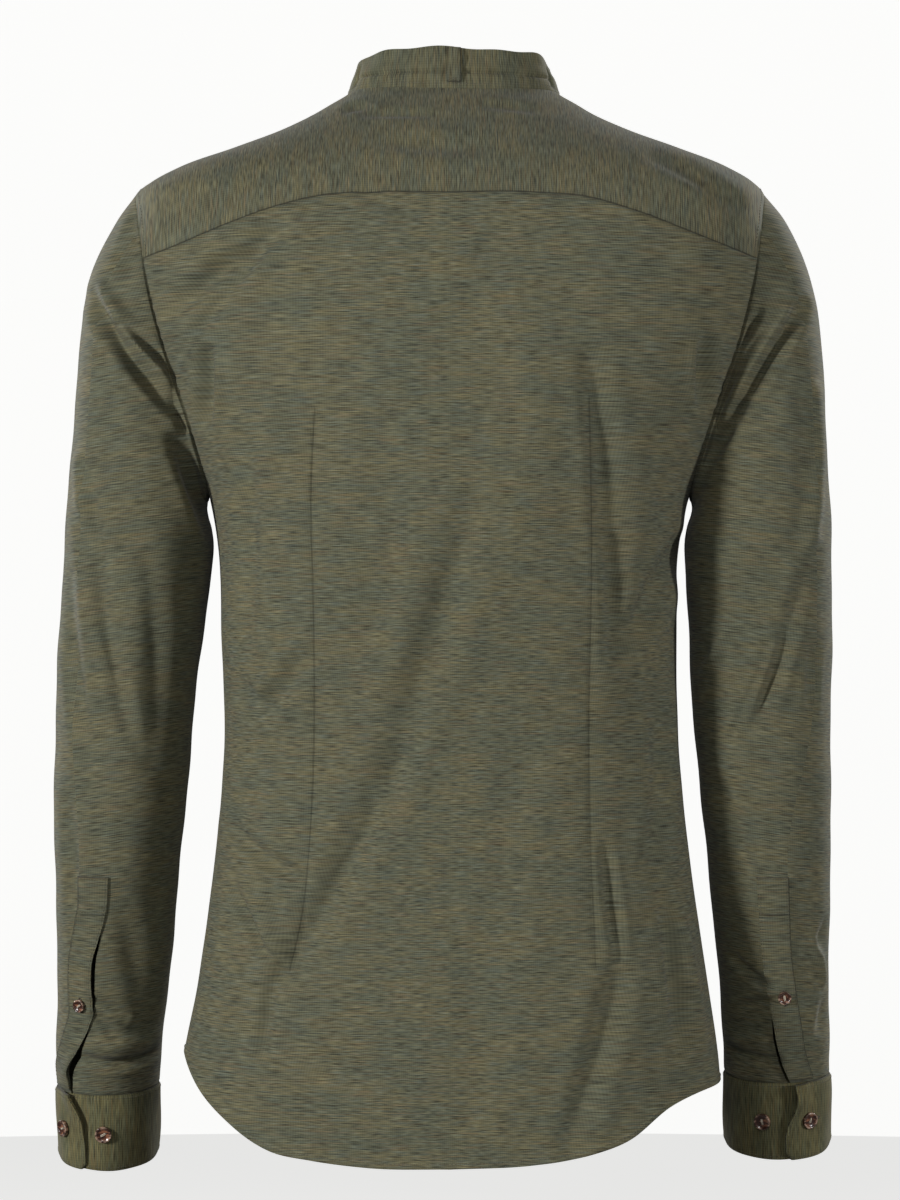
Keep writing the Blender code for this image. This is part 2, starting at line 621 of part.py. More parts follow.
def wall(name, outer, normals, thickness, colour, loop=False, cut=None):
    """A closed wall of cloth: outer is a grid of points, with normals that point out of the cloth."""
    rows, columns = outer.shape[:2]
    inner = outer - normals * thickness
    count = rows * columns
    last = columns if loop else columns - 1
    middle = (rows // 2, columns // 3)
    along = outer[middle[0] + 1 if middle[0] + 1 < rows else 0, middle[1]] - outer[middle]
    if middle[0] + 1 >= rows:
        along = -along
    across = outer[middle[0], middle[1] + 1] - outer[middle]
    outward = np.dot(np.cross(across, along), normals[middle]) > 0
    quads = []
    for i in range(rows - 1):
        for j in range(last):
            if cut is not None and cut(i, j):
                continue
            k = (j + 1) % columns
            quad = (i * columns + j, i * columns + k, (i + 1) * columns + k, (i + 1) * columns + j)
            quads.append(quad if outward else quad[::-1])
    edges = {(q[n], q[(n + 1) % 4]) for q in quads for n in range(4)}
    rims = [(b, a, a + count, b + count) for a, b in edges if (b, a) not in edges]
    points = np.concatenate([outer.reshape(-1, 3), inner.reshape(-1, 3)])
    halves = []
    for a, b, c, d in quads:
        first = np.linalg.norm(points[a] - points[c]) <= np.linalg.norm(points[b] - points[d])
        halves += [(a, b, c), (a, c, d)] if first else [(a, b, d), (b, c, d)]
    faces = halves + [tuple(p + count for p in half[::-1]) for half in halves] + sorted(rims)
    used = sorted({p for face in faces for p in face})
    place = {p: n for n, p in enumerate(used)}
    return add_object(name, points[used], [tuple(place[p] for p in face) for face in faces], colour)


# ---- pieces of the body ----
NECK_CORNER_TURN = math.radians(NECK_CORNER)


def yoke():
    neck = neck_seam(np.linspace(-NECK_CORNER_TURN, NECK_CORNER_TURN, NECK_BACK_CELLS + 1))
    top = np.concatenate([front_seam("right")[:-1], neck, front_seam("left")[::-1][1:]])
    bottom = back_seam(len(top) - 1)
    right = to_chart(arm_loop("right", arm_turns("yoke")))
    left = to_chart(arm_loop("left", arm_turns("yoke")))
    chart = coons(top, bottom, right, left)
    points, normals = body(chart[..., 0], chart[..., 1])
    points = trim(points, ("top", "bottom", "start", "end"))
    wall("yoke", points, normals, WALL, OLIVE_DARK)


def back():
    cells = NECK_BACK_CELLS + 2 * FRONT_SEAM_CELLS
    top = back_seam(cells)
    turns = np.linspace(-math.pi / 2, math.pi / 2, cells + 1)
    heights = np.where(turns > 0, hem_z("left", turns, True), hem_z("right", turns, True))
    bottom = np.stack([turns, down_at(heights)], -1)
    chart = coons(top, bottom, outer_edge("right", "back"), outer_edge("left", "back"))
    points, normals = body(chart[..., 0], chart[..., 1])
    points = trim(points, ("top", "start", "end"))
    wall("back", points, normals, WALL, OLIVE)


def front_grid(side):
    """(points, normals) of a front, from its side to its lapped edge."""
    sign = SIGN[side]
    neck = neck_seam(sign * np.linspace(NECK_CORNER_TURN, math.pi, NECK_FRONT_CELLS + 1))
    neck_end = neck[-1, 1]
    lap = np.array([lapped_turn(FRONT_LAP, neck_end, side), neck_end])
    top = np.concatenate([front_seam(side)[:-1], neck, lap[None]])
    edge = outer_edge(side, "front")
    foot = float(down_at(HEM_FRONT_Z))
    down = np.linspace(neck_end, foot, len(edge))
    inner = np.stack([lapped_turn(FRONT_LAP, down, side), down], -1)
    first, last = edge[-1, 0], inner[-1, 0]
    share = np.linspace(0, 1, len(top))
    turns = first + (last - first) * share
    bottom = np.stack([turns, down_at(hem_z(side, turns, False))], -1)
    bottom[-1, 1] = foot
    chart = coons(top, bottom, edge, inner)
    points, normals = body(chart[..., 0], chart[..., 1])
    near = 1 - ease(*LAP_FADE, points[..., 0] * sign)
    step = sign * LAP_STEP * near
    points = points + normals * step[..., None]
    return trim(points, ("top", "start")), normals


# ---- fastening and small pieces ----
def strip(name, points, normals, thickness, colour, lift=GAP):
    """A strip of cloth that lies on a panel: the panel's points, moved out."""
    wall(name, points + normals * (lift + thickness), normals, thickness, colour)


def button(name, place, out, width):
    """A turned button with a raised rim, lying on the cloth at place and facing out."""
    radius = width / 2
    profile = (
        (radius * 0.86, 0.0),
        (radius, BUTTON_HEIGHT * 0.45),
        (radius * 0.92, BUTTON_HEIGHT),
        (radius * 0.66, BUTTON_HEIGHT),
        (radius * 0.56, BUTTON_HEIGHT * 0.72),
    )
    out = unit(np.asarray(out, float))
    side = unit(np.cross(out, [0.0, 0.0, 1.0]))
    up = np.cross(side, out)
    points, faces = [], []
    for reach, height in profile:
        for n in range(BUTTON_SIDES):
            angle = 2 * math.pi * n / BUTTON_SIDES
            points.append(place + out * height + reach * (math.cos(angle) * side + math.sin(angle) * up))
    for ring in range(len(profile) - 1):
        for n in range(BUTTON_SIDES):
            m = (n + 1) % BUTTON_SIDES
            a, b = ring * BUTTON_SIDES, (ring + 1) * BUTTON_SIDES
            faces.append((a + m, a + n, b + n, b + m))
    last = (len(profile) - 1) * BUTTON_SIDES
    faces.append(tuple(range(BUTTON_SIDES)))
    faces.append(tuple(last + n for n in reversed(range(BUTTON_SIDES))))
    add_object(name, points, faces, HORN, 0.35)


def fronts():
    left, left_normals = front_grid("left")
    wall("front_left", left, left_normals, WALL, OLIVE)
    right, right_normals = front_grid("right")
    wall("front_right", right, right_normals, WALL, OLIVE)


def front_placket():
    """The folded strip on the left front's edge, with its buttons."""
    ends = neck_seam(np.array([math.pi]))[0, 1], float(down_at(HEM_FRONT_Z))
    down = np.linspace(*ends, len(outer_edge("left", "front")))
    down[0], down[-1] = down[0] + 0.002, down[-1] - 0.001
    reach = np.linspace(FRONT_LAP - PLACKET_WIDTH, FRONT_LAP, 4)
    turns = np.stack([lapped_turn(x, down, "left") for x in reach], 1)
    points, normals = body(turns, np.repeat(down[:, None], len(reach), 1))
    lift = LAP_STEP + GAP
    strip("front_placket", points, normals, WALL, OLIVE, lift)
    for n in range(FRONT_BUTTONS):
        z = FRONT_BUTTON_TOP - n * FRONT_BUTTON_STEP
        place, out = body(np.array([math.pi]), down_at(np.array([z])))
        seat = place[0] + out[0] * (LAP_STEP + 2 * GAP + WALL + 0.0002)
        button(f"front_button_{n + 1}", seat, out[0], BUTTON)


# ---- collar ----
def band_surface(turn, share, step=0.0):
    """(points, normals) of the collar band; share is 0 on the neck seam and 1 on the top edge."""
    turn, share = np.broadcast_arrays(np.asarray(turn, float), np.asarray(share, float))
    x, y = neck_plan(turn)
    base = body_base(*np.moveaxis(neck_seam(turn), -1, 0))
    side = np.abs(np.degrees((turn + math.pi) % (2 * math.pi) - math.pi))
    height = smooth(column(BAND, "turn"), column(BAND, "height"), side)
    lean = smooth(column(BAND, "turn"), column(BAND, "lean"), side)
    gone_x, gone_y = (x - NECK_MIDDLE_X) / NECK_HALF**2, (y - NECK_MIDDLE_Y) / NECK_BACK**2
    outward = unit(np.stack([gone_x, gone_y, np.zeros(x.shape)], -1))
    up = np.array([0.0, 0.0, 1.0])
    tilt = (lean / height)[..., None]
    normals = unit(outward + up * tilt)
    points = base + up * (share * height + 2 * GAP * (1 - share))[..., None]
    points = points - outward * (lean * share + BAND_INSET)[..., None]
    return points + normals * np.asarray(step)[..., None], normals


def collar():
    back_turns = np.linspace(-NECK_CORNER_TURN, NECK_CORNER_TURN, NECK_BACK_CELLS + 1)
    front_turns = np.linspace(NECK_CORNER_TURN, math.pi, NECK_FRONT_CELLS + 1)[1:]
    lap = math.pi + BAND_LAP / NECK_HALF
    turns = np.concatenate([[-lap], -front_turns[::-1], back_turns, front_turns, [lap]])
    step = BAND_STEP * (ease(2.0, 2.9, turns) - ease(2.0, 2.9, -turns))
    share = np.linspace(0, 1, BAND_CELLS + 1)
    points, normals = band_surface(turns[None], share[:, None], np.repeat(step[None], len(share), 0))
    wall("collar_band", points, normals, BAND_WALL, OLIVE_DARK)
    place, out = band_surface(np.array([math.pi]), np.array([0.5]), np.array([BAND_STEP]))
    button("collar_button", place[0] + out[0] * GAP, out[0], BUTTON)


def hanger_loop():
    reach = np.linspace(-LOOP_WIDTH / 2, LOOP_WIDTH / 2, 3) / NECK_HALF
    share = np.linspace(0.16, 0.985, 6)
    points, normals = band_surface(reach[None], share[:, None], np.zeros((len(share), len(reach))))
    lift = GAP + 0.0002 + LOOP_LIFT * np.sin(np.pi * (share - share[0]) / (share[-1] - share[0]))
    points = points + normals * (lift + WALL)[:, None, None]
    wall("hanger_loop", points, normals, WALL, OLIVE_DARK)


# ---- sleeves, plackets and cuffs ----
def make_sleeve(side):
    turns, v, heights = sleeve_turns(side)
    points, normals = sleeve(side, turns, np.repeat(v[:, None], turns.shape[1], 1))
    points = trim(points, ("top", "bottom"))
    slit_row = int(np.argmax(heights < PLACKET_EDGE[0].z - 0.012))

    def slit(i, j):
        return j == 2 and i >= slit_row

    wall(f"sleeve_{side}", points, normals, WALL, OLIVE, loop=True, cut=slit)
    top = slit_row - 1
    placket = f"sleeve_placket_{side}"
    lift = GAP + 0.0006
    strip(placket, points[top:, 0:3], normals[top:, 0:3], WALL, OLIVE, lift)
    beta = placket_edge(side, PLACKET_BUTTON_Z[side]) - SLEEVE_PLACKET_WIDTH / FOREARM / 2
    fine = np.linspace(8, len(SLEEVES[side]), 400)
    path = tube(side, SLEEVES[side], np.full(fine.shape, float(beta)), fine, arm_loop)
    at = float(np.interp(-PLACKET_BUTTON_Z[side], -path[:, 2], fine))
    place, out = sleeve(side, np.array([float(beta)]), np.array([at]))
    button(f"placket_button_{side}", place[0] + out[0] * (lift + WALL + 0.0006), out[0], SMALL_BUTTON)


def cuff_sweep(side):
    """Ring places of a cuff's columns by row: from the overlapping end round to the end under it."""
    edge = np.radians(np.linspace(*CUFF_EDGE[side], CUFF_ROWS + 1))[:, None]
    sweep = np.linspace(0, 2 * math.pi + math.radians(CUFF_LAP), CUFF_CELLS + 1)[None]
    return edge - sweep


def cuff(side):
    beta = cuff_sweep(side)
    v = np.repeat(np.linspace(0, len(CUFFS[side]) - 1, CUFF_ROWS + 1)[:, None], beta.shape[1], 1)
    points = tube(side, CUFFS[side], beta, v)
    normals = tube_normal(side, CUFFS[side], beta, v)
    gone = np.degrees(beta[:, :1] - beta)
    step = CUFF_STEP * ((1 - ease(20, 80, gone)) - ease(320, 365, gone))
    points = points + normals * step[..., None]
    wall(f"cuff_{side}", points, normals, BAND_WALL, OLIVE_DARK)
    for n, offset in enumerate(CUFF_BUTTONS):
        middle = (len(CUFFS[side]) - 1) / 2
        at = np.radians(np.array([sum(CUFF_EDGE[side]) / 2 + offset]))
        place = tube(side, CUFFS[side], at, np.array([middle]))
        out = tube_normal(side, CUFFS[side], at, np.array([middle]))[0]
        lift = CUFF_STEP * (1 if offset < 0 else 0) + GAP
        button(f"cuff_button_{side}_{n + 1}", place[0] + out * lift, out, BUTTON)


def main():
    for old in list(bpy.data.objects):
        bpy.data.objects.remove(old, do_unlink=True)
    yoke()
    back()
    fronts()
    front_placket()
    collar()
    hanger_loop()
    for side in ("left", "right"):
        make_sleeve(side)
        cuff(side)


main()
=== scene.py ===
"""Dresses the band collar shirt: cloth, sewing, buttons, studio and camera.

Lengths are metres, +Z is up, the front faces -Y and the wearer's left is +X. Every cloth piece is a thin
shell on the form of its solid, with the creases of the photographed shirt placed one by one.
"""

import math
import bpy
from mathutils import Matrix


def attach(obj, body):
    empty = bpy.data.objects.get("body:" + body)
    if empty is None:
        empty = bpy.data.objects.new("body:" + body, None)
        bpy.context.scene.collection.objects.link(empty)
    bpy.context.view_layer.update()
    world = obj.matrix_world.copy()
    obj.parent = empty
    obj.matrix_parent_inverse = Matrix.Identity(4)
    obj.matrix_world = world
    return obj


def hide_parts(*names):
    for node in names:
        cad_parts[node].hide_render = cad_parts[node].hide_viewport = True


bl_info = {
    "name": "Band collar shirt",
    "version": (1, 0, 0),
    "blender": (4, 5, 0),
    "location": "View3D > Sidebar > Shirt",
    "description": "Builds the cloth, sewing and buttons of a band collar shirt",
    "category": "Object",
}

from collections import namedtuple

import bmesh
import bpy
import numpy as np
from bpy.props import FloatProperty, FloatVectorProperty, IntProperty, PointerProperty
from mathutils import Matrix, Vector

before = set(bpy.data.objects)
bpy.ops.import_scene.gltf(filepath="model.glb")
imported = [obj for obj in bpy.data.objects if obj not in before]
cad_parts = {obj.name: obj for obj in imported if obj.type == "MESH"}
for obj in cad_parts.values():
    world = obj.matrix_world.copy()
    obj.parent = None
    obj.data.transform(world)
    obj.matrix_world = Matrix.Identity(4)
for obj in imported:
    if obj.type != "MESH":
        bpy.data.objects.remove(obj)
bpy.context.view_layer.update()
BODY_NAME = "root"

# ---- driving sizes ----
WALL = 0.0010  # one layer of cloth
BAND_WALL = 0.0020  # collar band and cuffs: two layers and an interlining
GAP = 0.0003  # between two pieces that meet

# Sections of the body from the neck down to the hem: height, half widths, depths and squareness.
Section = namedtuple("Section", "z left right back front square")
BODY = (
    Section(0.0100, 0.0600, 0.0640, 0.0390, 0.0220, 2.00),
    Section(0.0010, 0.0712, 0.0760, 0.0460, 0.0320, 2.00),
    Section(-0.0055, 0.0820, 0.0872, 0.0550, 0.0380, 2.05),
    Section(-0.0124, 0.0935, 0.0985, 0.0635, 0.0425, 2.10),
    Section(-0.0228, 0.1143, 0.1210, 0.0760, 0.0480, 2.15),
    Section(-0.0366, 0.1502, 0.1580, 0.0905, 0.0545, 2.20),
    Section(-0.0504, 0.1882, 0.1932, 0.1030, 0.0610, 2.20),
    Section(-0.0600, 0.2062, 0.2088, 0.1095, 0.0655, 2.25),
    Section(-0.0676, 0.2157, 0.2160, 0.1140, 0.0695, 2.30),
    Section(-0.0850, 0.2200, 0.2200, 0.1210, 0.0785, 2.35),
    Section(-0.1150, 0.2195, 0.2200, 0.1280, 0.0910, 2.40),
    Section(-0.1450, 0.2145, 0.2150, 0.1315, 0.1050, 2.40),
    Section(-0.1850, 0.2015, 0.2020, 0.1330, 0.1190, 2.45),
    Section(-0.2350, 0.1820, 0.1815, 0.1325, 0.1300, 2.45),
    Section(-0.2800, 0.1645, 0.1635, 0.1305, 0.1350, 2.50),
    Section(-0.3125, 0.1592, 0.1575, 0.1280, 0.1355, 2.50),
    Section(-0.3680, 0.1575, 0.1562, 0.1220, 0.1330, 2.45),
    Section(-0.4505, 0.1555, 0.1575, 0.1120, 0.1250, 2.40),
    Section(-0.5335, 0.1630, 0.1663, 0.1110, 0.1210, 2.40),
    Section(-0.6160, 0.1746, 0.1785, 0.1150, 0.1210, 2.40),
    Section(-0.6575, 0.1830, 0.1845, 0.1170, 0.1220, 2.40),
    Section(-0.7600, 0.1890, 0.1880, 0.1190, 0.1240, 2.40),
)

# Armholes: a rounded loop on the body's side.
ARM_TOP = -0.0676
ARM_FOOT = -0.2780
ARM_BACK = 0.0580
ARM_FRONT = -0.0620
ARM_ROUND = 2.6
SEAM_STAND = 0.0019  # the sleeve stands out from the body where it turns under the arm

# Seams of the yoke.
YOKE_Z = -0.0756  # back seam at the centre
YOKE_END_Z = -0.1150
Fall = namedtuple("Fall", "across share")
YOKE_FALL = (
    Fall(0.0000, 0.00),
    Fall(0.0640, 0.00),
    Fall(0.0820, 0.03),
    Fall(0.0963, 0.09),
    Fall(0.1230, 0.28),
    Fall(0.1600, 0.60),
    Fall(0.1890, 0.86),
    Fall(0.2075, 1.00),
)
FRONT_SEAM_TURN = -44  # place on the armhole loop, degrees from its top

# Neck seam in plan, and the collar band on it.
NECK_HALF = 0.0740
NECK_MIDDLE_X = -0.0026  # the neck stands a little to the right of the body's middle
NECK_MIDDLE_Y = -0.0095
NECK_BACK = 0.0555
NECK_FRONT = 0.0545
NECK_CORNER = 118  # degrees from the centre back, where the yoke's front seam meets the neck
BAND_LAP = 0.0128  # each end of the band passes the centre front by this much
BAND_STEP = 0.0013  # half the distance between the lapped ends' middles
BAND_INSET = 0.0002  # the band stands this far inside the neck seam
Band = namedtuple("Band", "turn height lean")
BAND = (
    Band(0, 0.0285, 0.0030),
    Band(90, 0.0250, 0.0070),
    Band(180, 0.0270, 0.0015),
)

# Hem: what part of its rise to the side seam it has reached, by how far out it is.
HEM_BACK_Z = -0.7255
HEM_FRONT_Z = -0.7080
HEM_LEFT_Z = -0.6575
HEM_RIGHT_Z = -0.6770
Hem = namedtuple("Hem", "across left right")
HEM = (
    Hem(0.00, 0.00, 0.00),
    Hem(0.30, 0.01, 0.05),
    Hem(0.50, 0.07, 0.17),
    Hem(0.65, 0.15, 0.37),
    Hem(0.79, 0.38, 0.77),
    Hem(0.90, 0.64, 0.93),
    Hem(1.00, 1.00, 1.00),
)

# Front opening, left over right.
FRONT_LAP = 0.016  # each front passes the centre by this much
PLACKET_WIDTH = 0.032
LAP_STEP = 0.0010  # half the distance between the lapped fronts' middles
LAP_FADE = (0.034, 0.060)  # the fronts step apart inside the first and not beyond the second
PLACKET_LIFT = LAP_STEP + GAP + WALL  # the placket's outer face stands this far from the body's surface

# Rings of the sleeves under the armhole loop: outer and inner point, middle and half depth in Y, and
# how much lower the back of the ring is than its middle.
Ring = namedtuple("Ring", "outer_x outer_z inner_x inner_z middle deep drop")
SLEEVES = {
    "left": (
        Ring(0.2310, -0.0890, 0.1675, -0.2825, 0.0000, 0.0605, 0.0000),
        Ring(0.2480, -0.1250, 0.1667, -0.2895, 0.0000, 0.0625, 0.0000),
        Ring(0.2553, -0.1745, 0.1640, -0.2990, 0.0000, 0.0640, 0.0000),
        Ring(0.2595, -0.2297, 0.1626, -0.3125, 0.0000, 0.0630, 0.0000),
        Ring(0.2640, -0.2880, 0.1657, -0.3350, 0.0000, 0.0615, 0.0000),
        Ring(0.2675, -0.3400, 0.1690, -0.3620, -0.0010, 0.0595, 0.0005),
        Ring(0.2707, -0.3950, 0.1740, -0.4020, -0.0030, 0.0575, 0.0010),
        Ring(0.2737, -0.4600, 0.1800, -0.4600, -0.0060, 0.0550, 0.0020),
        Ring(0.2737, -0.5150, 0.1855, -0.5150, -0.0120, 0.0525, 0.0030),
        Ring(0.2728, -0.5760, 0.1919, -0.5760, -0.0200, 0.0490, 0.0040),
        Ring(0.2728, -0.6230, 0.1970, -0.6230, -0.0280, 0.0465, 0.0045),
        Ring(0.2740, -0.6600, 0.2010, -0.6585, -0.0360, 0.0440, 0.0050),
        Ring(0.2735, -0.6845, 0.2030, -0.6830, -0.0410, 0.0405, 0.0050),
    ),
    "right": (
        Ring(0.2325, -0.0890, 0.1670, -0.2825, 0.0000, 0.0605, 0.0000),
        Ring(0.2478, -0.1250, 0.1660, -0.2895, 0.0000, 0.0625, 0.0000),
        Ring(0.2567, -0.1745, 0.1630, -0.2990, 0.0000, 0.0640, 0.0000),
        Ring(0.2588, -0.2297, 0.1612, -0.3125, 0.0000, 0.0630, 0.0000),
        Ring(0.2624, -0.2880, 0.1627, -0.3350, 0.0000, 0.0615, 0.0000),
        Ring(0.2631, -0.3400, 0.1645, -0.3620, -0.0010, 0.0595, 0.0005),
        Ring(0.2632, -0.3950, 0.1668, -0.4020, -0.0030, 0.0575, 0.0010),
        Ring(0.2634, -0.4600, 0.1708, -0.4600, -0.0060, 0.0550, 0.0020),
        Ring(0.2634, -0.5150, 0.1768, -0.5150, -0.0120, 0.0525, 0.0030),
        Ring(0.2633, -0.5700, 0.1832, -0.5700, -0.0200, 0.0490, 0.0040),
        Ring(0.2631, -0.6160, 0.1878, -0.6160, -0.0280, 0.0465, 0.0045),
        Ring(0.2641, -0.6530, 0.1903, -0.6510, -0.0360, 0.0440, 0.0050),
        Ring(0.2649, -0.6755, 0.1915, -0.6750, -0.0410, 0.0405, 0.0050),
    ),
}
CUFFS = {
    "left": (
        Ring(0.2742, -0.6850, 0.2022, -0.6835, -0.0410, 0.0412, 0.0050),
        Ring(0.2748, -0.7085, 0.2030, -0.7085, -0.0475, 0.0415, 0.0075),
        Ring(0.2748, -0.7320, 0.2045, -0.7330, -0.0540, 0.0415, 0.0105),
    ),
    "right": (
        Ring(0.2656, -0.6760, 0.1908, -0.6755, -0.0410, 0.0412, 0.0050),
        Ring(0.2667, -0.7000, 0.1915, -0.7005, -0.0475, 0.0415, 0.0075),
        Ring(0.2676, -0.7240, 0.1925, -0.7255, -0.0540, 0.0415, 0.0105),
    ),
}

# Sleeve plackets: the free edge by height, in degrees on the sleeve from its outer side to the back.
Edge = namedtuple("Edge", "z left right")
PLACKET_EDGE = (
    Edge(-0.5380, 86.5, 106.0),
    Edge(-0.5607, 85.0, 105.5),
    Edge(-0.5809, 78.5, 105.3),
    Edge(-0.5942, 73.5, 104.5),
    Edge(-0.6096, 72.5, 102.0),
    Edge(-0.6221, 74.2, 100.0),
    Edge(-0.6326, 75.0, 97.5),
    Edge(-0.6420, 70.5, 95.3),
    Edge(-0.6526, 64.0, 93.0),
    Edge(-0.6644, 54.0, 89.0),
    Edge(-0.6734, 46.0, 84.0),
    Edge(-0.6840, 47.5, 77.5),
)
SLEEVE_PLACKET_WIDTH = 0.0215
FOREARM = 0.0425  # radius that turns the sleeve's widths into angles
SLIT_TOP = -0.5600
PLACKET_TOP = -0.5360
CUFF_EDGE = {"left": (47, 69), "right": (74, 83)}  # overlapping end at the seam and at the bottom
CUFF_LAP = 36  # degrees that the cuff passes under itself
CUFF_STEP = 0.0013

